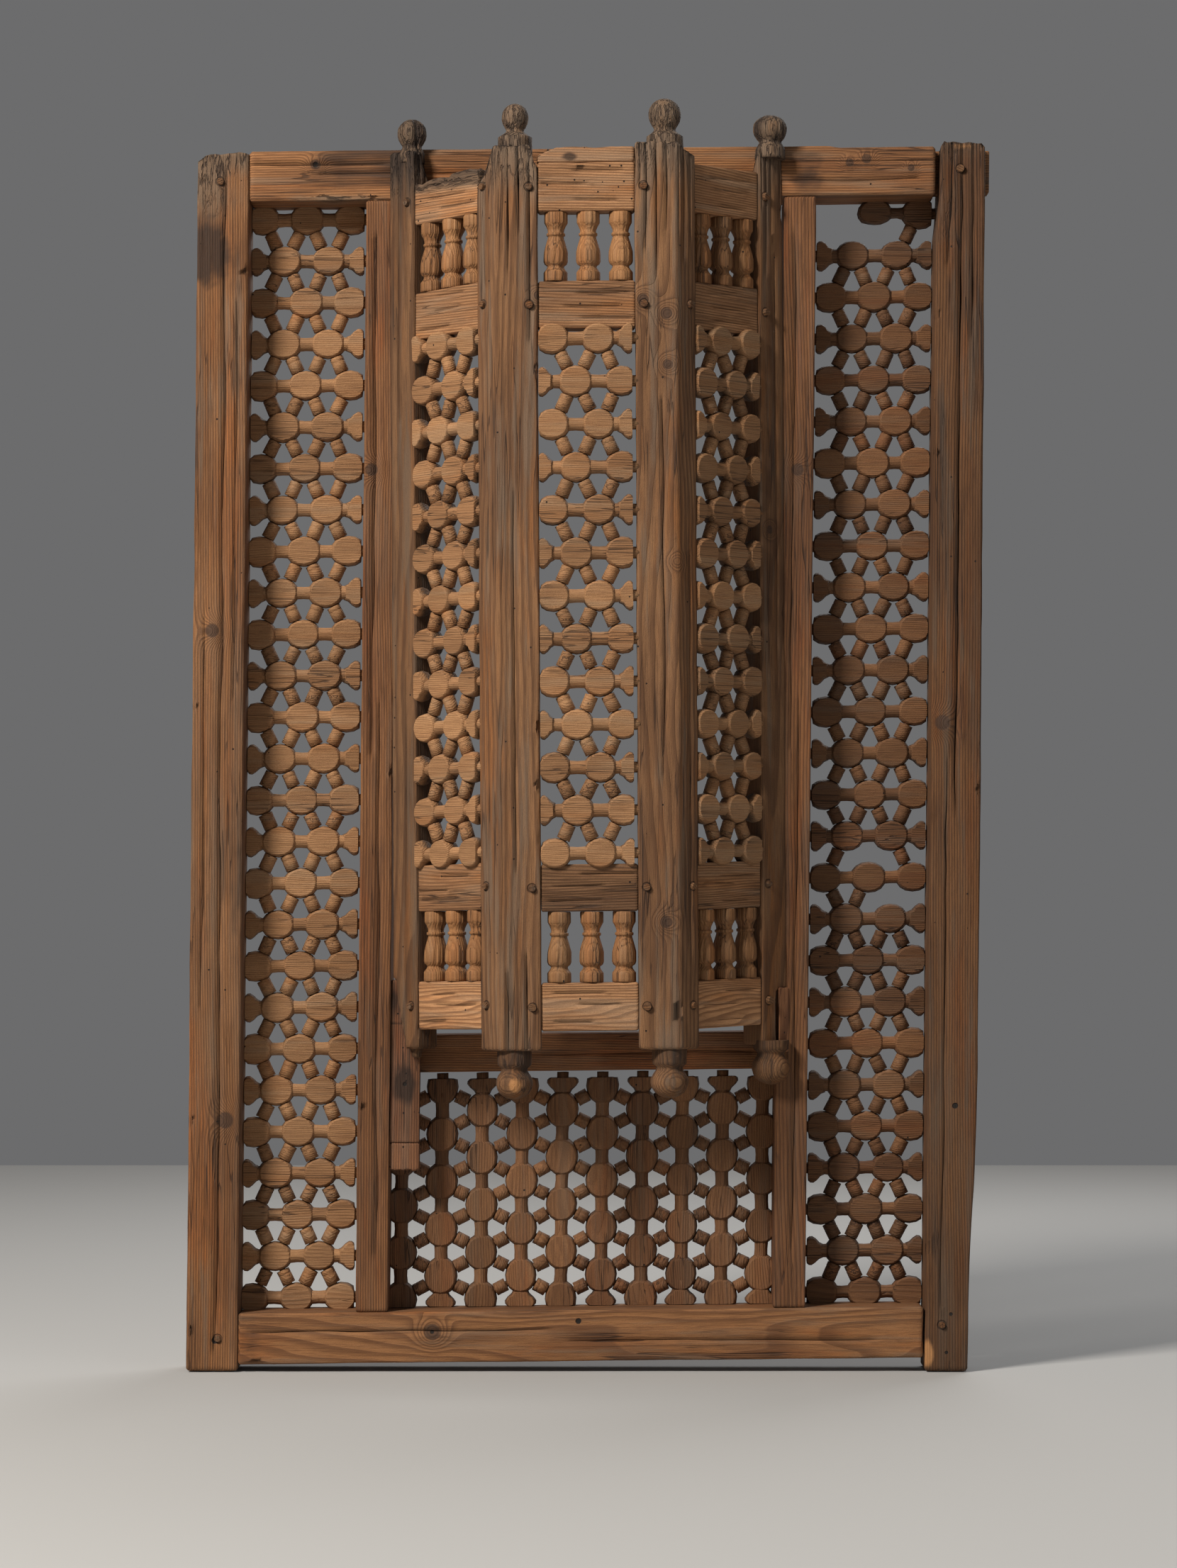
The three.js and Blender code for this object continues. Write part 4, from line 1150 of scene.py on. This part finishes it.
# levels: shares of the height where the block is measured, close together at its shoulder
blockWork = {
    "right_post_patch": {"tint": 1.25, "seed": 131, "levels": (0.0, 1.0)},
    "left_packing_block": {"tint": 1.0, "seed": 133, "levels": (0.0, 0.25, 0.50, 0.716, 0.728, 0.85, 1.0)},
    "left_packing_cleat": {"tint": 1.15, "seed": 137, "levels": (0.0, 1.0)},
}
for name, work in blockWork.items():
    low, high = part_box(name)
    isBlock = name == "left_packing_block"
    wood = makeWood(name + "Wood", "block", tint=work["tint"], beetle=0.5,
                    spots=[((low[0] + 0.020, low[1], 0.328), 0.0030)] if isBlock else ())
    rings = []
    bottom, top = low[2] + 0.0004, high[2] - 0.0004
    for share in work["levels"]:
        ring = sliceNode(name, bottom + min(max(share, 0.04), 0.96) * (top - bottom))
        ring = np.roll(ring, -int(np.argmin(ring[:, 0] + 2 * ring[:, 1])), axis=0)
        rings.append([(x, y, bottom + share * (top - bottom)) for x, y in ring])
    points, faces, cavity = sweepBoard(rings, 0.0035, 0.0045, 0.0016, (), work["seed"])
    points, wearAndShade = weather(points, faces, cavity, work["seed"], rough=0.0004, grey=0.1, darkening=0.3)
    if isBlock:
        paintPatch(points, wearAndShade, 0, (low[0] + 0.022, low[1], 0.328), (0.020, 0.02, 0.032), 0.9)
        paintPatch(points, wearAndShade, 0, (low[0] + 0.006, low[1], 0.437), (0.012, 0.03, 0.026), 0.7)
        # a thin dark line where the lower part stands proud: painted shadow of the step
        paintPatch(points, wearAndShade, 0, (low[0] + 0.010, low[1], 0.4075), (0.014, 0.03, 0.0016), 0.9)
    if name == "left_packing_cleat":
        ragged = np.clip((low[2] + 0.010 - points[:, 2]) / 0.010, 0, 1)
        points[:, 2] += ragged * 0.003 * layeredNoise(points * np.array([220.0, 90.0, 0.0]), 15, 2)
    makePiece(name + "_wood", points, faces, wood, [name], wearAndShade)
print("bay rails, strip and blocks ready")


# balusters

balusterWork = {
    "radius": 0.0152,
    # (share of the height, share of the radius) from the foot up
    "profile": [
        (0.00, 0.94), (0.01, 1.00), (0.13, 1.00), (0.15, 0.93), (0.18, 0.78), (0.21, 0.70), (0.225, 0.72),
        (0.25, 0.90), (0.29, 0.99), (0.36, 1.00), (0.43, 0.99), (0.50, 0.91), (0.57, 0.79), (0.63, 0.68),
        (0.655, 0.66), (0.662, 0.77), (0.69, 0.79), (0.70, 0.76), (0.708, 0.66), (0.75, 0.69), (0.80, 0.79),
        (0.835, 0.91), (0.85, 0.95), (0.99, 0.95), (1.00, 0.90),
    ],
    "segments": 56, "lean": 0.010, "tints": {"front": 0.86, "left": 0.90, "right": 0.80},
}

draw = np.random.default_rng(5)
for faceName in ("front", "left", "right"):
    wood = makeWood(faceName + "BalusterWood", "baluster", turn=bayFaces[faceName]["turn"],
                    tint=balusterWork["tints"][faceName], beetle=0.05)
    for row in ("upper", "lower"):
        for number in (1, 2, 3):
            name = f"baluster_{faceName}_{row}_{number}"
            corners = nodePoints(name)
            low, high = corners[:, 2].min(), corners[:, 2].max()
            middle = corners[:, :2].mean(axis=0)
            height = high - low - 0.0006
            profile = [(0.0, 0.0)]
            profile += [(r * balusterWork["radius"], t * height) for t, r in balusterWork["profile"]]
            profile += [(0.0, height)]
            points, faces, cavity = turnedShape(profile, (*middle, low + 0.0003), balusterWork["segments"],
                                                200 + number, crack=0.0022, fine=0.0003)
            lean = draw.uniform(-1, 1, 2) * balusterWork["lean"]
            lift = points[:, 2] - (low + high) / 2
            points[:, 0] += lift * lean[0]
            points[:, 1] += lift * lean[1]
            angle = np.arctan2(points[:, 1] - middle[1], points[:, 0] - middle[0])
            reach = np.linalg.norm(points[:, :2] - middle, axis=1)
            share = lift / (high - low) + 0.5
            fluted = ((share > 0.24) & (share < 0.46)) | (share > 0.78)
            ribs = np.cos(angle * 14) * np.where(fluted, 0.00045, 0.00010)
            points[:, 0] += np.cos(angle) * ribs
            points[:, 1] += np.sin(angle) * ribs
            wearAndShade = np.zeros((len(points), 3))
            # red: painted shade in the crack valleys and in the narrow turned hollows
            wearAndShade[:, 0] = cavity * 0.7 + np.clip(0.0125 - reach, 0, 0.004) * 60 * (reach > 0.006)
            wearAndShade[:, 1] = 0.10 + 0.3 * draw.uniform()
            piece = makePiece(name + "_turned", points, faces, wood, [name], wearAndShade)
            tone = piece.data.attributes.new("tone", "FLOAT", "POINT")
            tone.data.foreach_set("value", np.full(len(points), draw.uniform(0.0, 0.6), np.float32))
print("balusters ready")


# lattices of turned beads

beadDepth = 0.011  # half the thickness left after the panels were planed


# an oval bead lying along X, its ball cut flat in front and behind
def beadTemplate(name, halfLength, radius, fullness=2.12, segments=16):
    outline = []
    for k in range(segments):
        a = 2 * math.pi * k / segments
        c, s = math.cos(a), math.sin(a)
        outline.append((math.copysign(abs(c) ** (2 / fullness), c) * halfLength,
                        math.copysign(abs(s) ** (2 / fullness), s) * radius))
    depths = (-1.0, -0.86, 0.0, 0.86, 1.0)
    rows = []
    for d in depths:
        y = d * beadDepth
        scale = math.sqrt(1 - (y / radius) ** 2) - (0.035 if abs(d) == 1 else 0.0)
        rows.append([(u * scale, y, v * scale) for u, v in outline])
    return ringTemplate(name, rows, 1.0)


# a bell-shaped end, its mouth at x = 0 and its neck towards +X, planed like the beads
def cupTemplate(name, length, radius, neck):
    profile = [(0.0, radius * 0.86), (0.12 * length, radius * 0.98), (0.30 * length, radius),
               (0.52 * length, radius * 0.84), (0.75 * length, radius * 0.58), (length, neck)]
    outline = [(x, -r) for x, r in profile] + [(x, r) for x, r in reversed(profile)]
    rows = []
    for d in (-1.0, -0.84, 0.0, 0.84, 1.0):
        y = d * beadDepth
        scale = math.sqrt(1 - (y / radius) ** 2) - (0.035 if abs(d) == 1 else 0.0)
        rows.append([(x * (1 - 0.18 * abs(d) * (x > 0.6 * length)), y, v * scale) for x, v in outline])
    return ringTemplate(name, rows, 1.0)


# a short turned bar along an axis, with shallow grooves where the chisel stood
def barTemplate(name, profile, axis, segments=10):
    rows = []
    for t, r in profile:
        ring = []
        for k in range(segments):
            a = 2 * math.pi * k / segments
            ring.append((t, r * math.cos(a), r * math.sin(a)) if axis == "x"
                        else (r * math.cos(a), -r * math.sin(a), t))
        rows.append(ring)
    return ringTemplate(name, rows)


def ringTemplate(name, rows, flank=0.0):
    width = len(rows[0])
    points = [p for row in rows for p in row]
    faces = [list(range(width))[::-1], [len(points) - width + k for k in range(width)]]
    for row in range(len(rows) - 1):
        for k in range(width):
            a, b = row * width + k, row * width + (k + 1) % width
            faces.append([a, b, b + width, a + width])
    mesh = bpy.data.meshes.new(name)
    mesh.from_pydata(points, [], faces)
    faceOutwards(mesh)
    for face in mesh.polygons:
        face.use_smooth = len(face.vertices) == 4
    # flank marks the beads and cups, whose flanks get painted shade
    mesh.attributes.new("flank", "FLOAT", "POINT").data.foreach_set("value", [flank] * len(points))
    template = bpy.data.objects.new(name, mesh)
    bpy.context.scene.collection.objects.link(template)
    return template


# a Geometry Nodes tree with its named inputs: (label, kind of socket, value)
def startTree(name, inputs):
    tree = bpy.data.node_groups.new(name, "GeometryNodeTree")
    for label, kind, value in [("Geometry", "Geometry", None)] + inputs:
        socket = tree.interface.new_socket(label, in_out="INPUT", socket_type="NodeSocket" + kind)
        if value is not None:
            socket.default_value = value
    tree.interface.new_socket("Geometry", in_out="OUTPUT", socket_type="NodeSocketGeometry")
    n = Nodes(tree)
    return n, n.add("NodeGroupInput").outputs


def finishTree(n, geometry, material):
    real = n.add("GeometryNodeRealizeInstances", {0: geometry})
    painted = n.add("GeometryNodeSetMaterial", {"Geometry": real.outputs[0], "Material": material})
    n.add("NodeGroupOutput", {0: painted.outputs[0]})
    return n.tree


# some nodes have a socket of each kind under one name
def socketOf(sockets, kind, name=None):
    return next(s for s in sockets if s.type == kind and name in (None, s.name))


def readAttribute(n, name, dataType, kind):
    node = n.add("GeometryNodeInputNamedAttribute", {"Name": name}, data_type=dataType)
    return socketOf(node.outputs, kind)


def randomFloat(n, low, high, seed):
    node = n.add("FunctionNodeRandomValue", {"Seed": seed}, data_type="FLOAT")
    n.put(socketOf(node.inputs, "VALUE", "Min"), low)
    n.put(socketOf(node.inputs, "VALUE", "Max"), high)
    return socketOf(node.outputs, "VALUE")


# sets one turned shape on each point of its kind, varies it, trims the ends and joins everything
def buildLatticeTree():
    shapes = ("Bead", "Left cup", "Right cup", "Neck", "Link", "Tenon")
    n, source = startTree("latticeOfBeads", [(label, "Object", None) for label in shapes] + [
        ("Size change", "Float", 0.03), ("Turn change", "Float", 0.035), ("Low end", "Float", -1.0),
        ("High end", "Float", 1.0), ("Seed", "Int", 1), ("Material", "Material", None),
    ])
    kind, turn = readAttribute(n, "kind", "INT", "INT"), readAttribute(n, "turn", "FLOAT", "VALUE")

    def seedAt(offset):
        return n.maths("ADD", source["Seed"], offset)

    def vary(amount, offset):
        return randomFloat(n, n.maths("MULTIPLY", amount, -1.0), amount, seedAt(offset))

    trimmed, tenons = n.add("GeometryNodeJoinGeometry"), None
    for number, label in enumerate(shapes):
        chosen = n.add("FunctionNodeCompare", data_type="INT", operation="EQUAL")
        for socket, value in zip([s for s in chosen.inputs if s.type == "INT"], (kind, number)):
            n.put(socket, value)
        part = n.add("GeometryNodeSeparateGeometry", {
            "Geometry": source["Geometry"], "Selection": chosen.outputs[0]}, domain="POINT")
        shape = n.add("GeometryNodeObjectInfo", {"Object": source[label]})
        spread = source["Turn change"]
        angles = n.add("ShaderNodeCombineXYZ", {
            0: vary(spread, 10 * number + 1),
            1: n.maths("ADD", turn, vary(spread, 10 * number + 2)),
            2: vary(spread, 10 * number + 3),
        })
        place = n.add("GeometryNodeInstanceOnPoints", {
            "Points": part.outputs["Selection"], "Instance": shape.outputs["Geometry"],
            "Rotation": angles.outputs[0],
            "Scale": n.maths("ADD", 1.0, vary(source["Size change"], 10 * number + 4)),
        })
        toned = n.add("GeometryNodeStoreNamedAttribute", {
            "Name": "tone", "Geometry": place.outputs["Instances"]}, data_type="FLOAT", domain="INSTANCE")
        n.put(socketOf(toned.inputs, "VALUE", "Value"), randomFloat(n, 0.0, 1.0, seedAt(10 * number + 5)))
        if label == "Tenon":
            tenons = toned.outputs["Geometry"]
        else:
            n.put(trimmed.inputs[0], toned.outputs["Geometry"])

    real = n.add("GeometryNodeRealizeInstances", {0: trimmed.outputs[0]})
    split = n.add("ShaderNodeSeparateXYZ", {0: n.add("GeometryNodeInputPosition").outputs[0]}).outputs
    inside = n.maths("MINIMUM", n.maths("MAXIMUM", split[0], source["Low end"]), source["High end"])
    joined = n.add("ShaderNodeCombineXYZ", {0: inside, 1: split[1], 2: split[2]})
    trim = n.add("GeometryNodeSetPosition", {"Geometry": real.outputs[0], "Position": joined.outputs[0]})
    together = n.add("GeometryNodeJoinGeometry", {0: trim.outputs[0]})
    n.put(together.inputs[0], tenons)
    return finishTree(n, together.outputs[0], source["Material"])


# runs a tree on the points and gives back the plain mesh it makes
def growMesh(name, cloud, tree, values):
    holder = bpy.data.objects.new(name + "Points", cloud)
    bpy.context.scene.collection.objects.link(holder)
    modifier = holder.modifiers.new("nodes", "NODES")
    modifier.node_group = tree
    sockets = {item.name: item.identifier for item in tree.interface.items_tree if item.in_out == "INPUT"}
    for label, value in values.items():
        modifier[sockets[label]] = value
    holder.update_tag()
    bpy.context.view_layer.update()
    graph = bpy.context.evaluated_depsgraph_get()
    mesh = bpy.data.meshes.new_from_object(holder.evaluated_get(graph), depsgraph=graph)
    mesh.name = name
    bpy.data.objects.remove(holder)
    return mesh


latticeTree = buildLatticeTree()

# u runs along the spindles and v across them, downwards from first; ends are where the spindles stop
# and wall says where the necks at the two ends go into the frame. lost links are (spindle, half pitch).
latticeWork = {
    "left_lattice": {
        "rows": 27, "first": 1.517, "pitch": -0.0547, "places": 5, "half": 0.0292, "middle": -0.3745,
        "phase": 0, "ends": (-0.4462, -0.2990), "wall": (-0.4462, -0.2925), "bead": (0.0236, 0.0203),
        "cup": 0.0222, "neck": 0.0090, "link": (0.0090, 0.0205), "wood": "bead", "slot": "bead", "tint": 0.93,
        "seed": 301, "lost": (), "missing": (), "splinter": None, "tone": (0.0, 0.55),
    },
    "right_lattice": {
        "rows": 27, "first": 1.517, "pitch": -0.0547, "places": 5, "half": 0.0292, "middle": 0.3745,
        "phase": 0, "ends": (0.2982, 0.4490), "wall": (0.2925, 0.4505), "bead": (0.0236, 0.0203),
        "cup": 0.0222, "neck": 0.0090, "link": (0.0090, 0.0205), "wood": "darkBead", "slot": "dark_bead",
        "tint": 1.05, "seed": 302,
        "lost": ((0, 0), (0, 1), (0, 2), (15, 1), (15, 2), (16, 2), (16, 3)),
        "missing": ((0, -1), (0, 0), (0, 1)), "splinter": (0.3745, 1.517), "tone": (0.0, 1.0),
    },
    "lower_lattice": {
        "rows": 10, "first": -0.2375, "pitch": 0.0528, "places": 10, "half": 0.0312, "middle": 0.2305,
        "phase": 0, "ends": (0.0812, 0.3815), "wall": (0.0812, 0.3925), "bead": (0.0248, 0.0215),
        "cup": 0.0215, "neck": 0.0092, "link": (0.0090, 0.0165), "wood": "darkBead", "slot": "dark_bead",
        "tint": 1.18, "seed": 303, "lost": (), "missing": (), "splinter": None, "tone": (0.1, 0.8),
        "upright": True,
    },
}
for faceName, seed in (("front", 304), ("left", 305), ("right", 306)):
    face = bayFaces[faceName]
    clearFrom, clearTo = face["ends"][0], face["length"] - face["ends"][1]
    latticeWork[f"bay_{faceName}_lattice"] = {
        "rows": 13, "first": 1.331, "pitch": -0.0546, "places": 4, "half": (clearTo - clearFrom) / 4.25,
        "middle": (clearFrom + clearTo) / 2, "phase": 0 if faceName == "front" else 1,
        "ends": (clearFrom + 0.0004, clearTo - 0.0045), "wall": (clearFrom + 0.0004, clearTo + 0.0010),
        "bead": (0.0218, 0.0203), "cup": 0.0190, "neck": 0.0088, "link": (0.0088, 0.0210), "wood": "bead",
        "slot": "bead", "tint": {"front": 0.98, "left": 1.02, "right": 0.90}[faceName], "seed": seed,
        "lost": (), "missing": (), "splinter": None, "tone": (0.0, 0.6), "face": faceName,
    }


def latticePoints(work):
    kinds, turns, places = [], [], []

    def put(kind, u, v, turn=0.0):
        kinds.append(kind)
        turns.append(turn)
        places.append((u, 0.0, v))

    low, high = work["ends"]
    spread = work["half"]
    for row in range(work["rows"]):
        v = work["first"] + row * work["pitch"]
        for place in range(-1, work["places"] + 1):
            if (row, place) in work["missing"]:
                continue
            u = work["middle"] + (place - (work["places"] - 1) / 2) * spread
            beadHere = (row + place + work["phase"]) % 2 == 0
            if place == -1 and beadHere:
                put(1, low, v)
            elif place == work["places"] and beadHere:
                put(2, high, v)
            elif beadHere:
                put(0, u, v)
            elif low - 0.01 < u < high + 0.01:
                put(3, u, v)
        if work["wall"][0] < low - 0.001 and (row, -1) not in work["missing"]:
            put(5, low, v)
        if work["wall"][1] > high + 0.001:
            put(5, high, v)
        if row == work["rows"] - 1:
            continue
        for place in range(work["places"] - 1):
            if (row, place) in work["lost"]:
                continue
            u = work["middle"] + (place - (work["places"] - 1) / 2 + 0.5) * spread
            falls = 1 if (row + place + work["phase"]) % 2 == 0 else -1
            across = work["pitch"] * 0.92
            put(4, u, v + work["pitch"] / 2, math.atan2(falls * spread * 0.80, across))
    return kinds, turns, places


rackLean, rackRise = 0.0099, 0.0103


def latticePlace(work, points):
    u, y, v = points.T
    if work.get("upright"):
        u, v = v, u
    if "face" in work:
        return bayPlace(work["face"], np.stack([u, 0.007 + y, v], axis=1))
    height = v - bay["datum"]
    return np.stack([u + rackLean * height, -0.014 + y, height + rackRise * u], axis=1)


# the six turned shapes of one lattice, under the names of the tree's inputs
def latticeShapes(name, work):
    neck, half, (radius, length) = work["neck"], work["half"], work["link"]
    leftCup = cupTemplate(name + "LeftCup", work["cup"], work["bead"][1] * 0.97, neck)
    rightCup = leftCup.copy()
    rightCup.data = leftCup.data.copy()
    rightCup.data.transform(Matrix.Rotation(math.pi, 4, "Z"))
    bpy.context.scene.collection.objects.link(rightCup)
    pin, pinRadius = 0.0045, 0.0042
    neckProfile = [(-0.72 * half, neck * 1.10), (-0.34 * half, neck * 1.02), (0.0, neck * 0.95),
                   (0.34 * half, neck * 1.02), (0.72 * half, neck * 1.10)]
    linkProfile = [
        (-0.50 * length - pin, pinRadius), (-0.50 * length, pinRadius), (-0.50 * length, radius),
        (-0.22 * length, radius), (-0.18 * length, radius * 0.95), (-0.14 * length, radius),
        (0.50 * length, radius), (0.50 * length, pinRadius), (0.50 * length + pin, pinRadius),
    ]
    return {
        "Bead": beadTemplate(name + "Bead", *work["bead"]), "Left cup": leftCup, "Right cup": rightCup,
        "Neck": barTemplate(name + "Neck", neckProfile, "x"),
        "Link": barTemplate(name + "Link", linkProfile, "z", 8),
        "Tenon": barTemplate(name + "Tenon", [(-0.008, neck * 0.86), (0.0075, neck * 0.86)], "x"),
    }


def latticeCloud(name, work):
    kinds, turns, places = latticePoints(work)
    cloud = bpy.data.meshes.new(name + "Points")
    cloud.from_pydata(places, [], [])
    cloud.attributes.new("kind", "INT", "POINT").data.foreach_set("value", np.array(kinds, np.int32))
    cloud.attributes.new("turn", "FLOAT", "POINT").data.foreach_set("value", np.array(turns, np.float32))
    return cloud


# the bead at the broken end has lost its underside
def tearSplinter(points, splinter):
    centreU, centreV = splinter
    close = (np.abs(points[:, 0] - centreU) < 0.033) & (np.abs(points[:, 2] - centreV) < 0.024)
    torn = 0.66 + 0.16 * layeredNoise(points * np.array([140.0, 90.0, 0.0]), 77, 2)
    below = close & (points[:, 2] < centreV)
    points[:, 2] = np.where(below, centreV + (points[:, 2] - centreV) * torn, points[:, 2])


def readFloats(attribute):
    values = np.zeros(len(attribute.data), np.float32)
    attribute.data.foreach_get("value", values)
    return values


for name, work in latticeWork.items():
    seed = work["seed"]
    wood = makeWood(name + "Wood", work["wood"], grain="z" if work.get("upright") else "x", tint=work["tint"],
                    turn=bayFaces[work["face"]]["turn"] if "face" in work else 0.0, swirl=1.6, beetle=0.03)
    shapes = latticeShapes(name, work)
    mesh = growMesh(name + "_turned", latticeCloud(name, work), latticeTree, {
        **shapes, "Low end": work["ends"][0], "High end": work["ends"][1], "Seed": seed,
        "Material": wood, "Size change": 0.035, "Turn change": 0.04,
    })
    for template in shapes.values():
        bpy.data.objects.remove(template)

    points = meshPoints(mesh)
    # the flanks behind the flat planed faces are painted darker: painted shade
    rim = np.clip((points[:, 1] + beadDepth * 0.93) / 0.004, 0, 1) * readFloats(mesh.attributes["flank"])
    mesh.attributes.remove(mesh.attributes["flank"])
    for axis, amount in enumerate((0.00045, 0.0002, 0.00045)):
        points[:, axis] += layeredNoise(points * 95.0 + axis * 31.7, seed + axis, 2) * amount
    if work["splinter"]:
        tearSplinter(points, work["splinter"])
    points = latticePlace(work, points)
    mesh.vertices.foreach_set("co", points.astype(np.float32).ravel())
    wearAndShade = np.zeros((len(points), 3), np.float32)
    # red: painted shade on the flanks, with a little stain
    wearAndShade[:, 0] = rim * 0.62 + 0.10 * np.clip(layeredNoise(points * 30.0, seed + 7, 3), 0, 1)
    wearAndShade[:, 1] = 0.20 + 0.35 * layeredNoise(points * 16.0, seed + 8, 3)
    paintWearAndShade(mesh, wearAndShade)
    tone = mesh.attributes["tone"]
    lowTone, highTone = work["tone"]
    tone.data.foreach_set("value", lowTone + (highTone - lowTone) * readFloats(tone))
    faceOutwards(mesh)
    addPiece(name + "_turned", mesh, [name])
    print(name, "has", len(mesh.polygons), "faces")
print("lattices ready")


# pegs

# a tapered peg on each point, turned to face out of the wood
def buildPegTree():
    n, source = startTree("pegsOnPoints", [
        ("Radius", "Float", 0.0046), ("Length", "Float", 0.006), ("Seed", "Int", 1),
        ("Material", "Material", None),
    ])
    cone = n.add("GeometryNodeMeshCone", {
        "Vertices": 9, "Side Segments": 1, "Radius Top": n.maths("MULTIPLY", source["Radius"], 0.86),
        "Radius Bottom": source["Radius"], "Depth": source["Length"],
    })
    facing = readAttribute(n, "facing", "FLOAT_VECTOR", "VECTOR")
    align = n.add("FunctionNodeAlignRotationToVector", {"Vector": facing}, axis="Z")
    place = n.add("GeometryNodeInstanceOnPoints", {
        "Points": source["Geometry"], "Instance": cone.outputs["Mesh"], "Rotation": align.outputs[0],
        "Scale": randomFloat(n, 0.85, 1.12, source["Seed"]),
    })
    return finishTree(n, place.outputs["Instances"], source["Material"])


pegCloud = bpy.data.meshes.new("pegPoints")
pegCloud.from_pydata(pegPlaces, [], [])
pegCloud.attributes.new("facing", "FLOAT_VECTOR", "POINT").data.foreach_set(
    "vector", np.array(pegFacing, np.float32).ravel())
pegMesh = growMesh("joint_pegs", pegCloud, buildPegTree(), {
    "Radius": pegWork["radius"], "Length": pegWork["length"], "Seed": pegWork["seed"],
    "Material": makeWood("pegWood", "post", tint=0.66, grain="y", swirl=2.0),
})
addPiece("joint_pegs", pegMesh)
print("pegs ready:", len(pegPlaces))
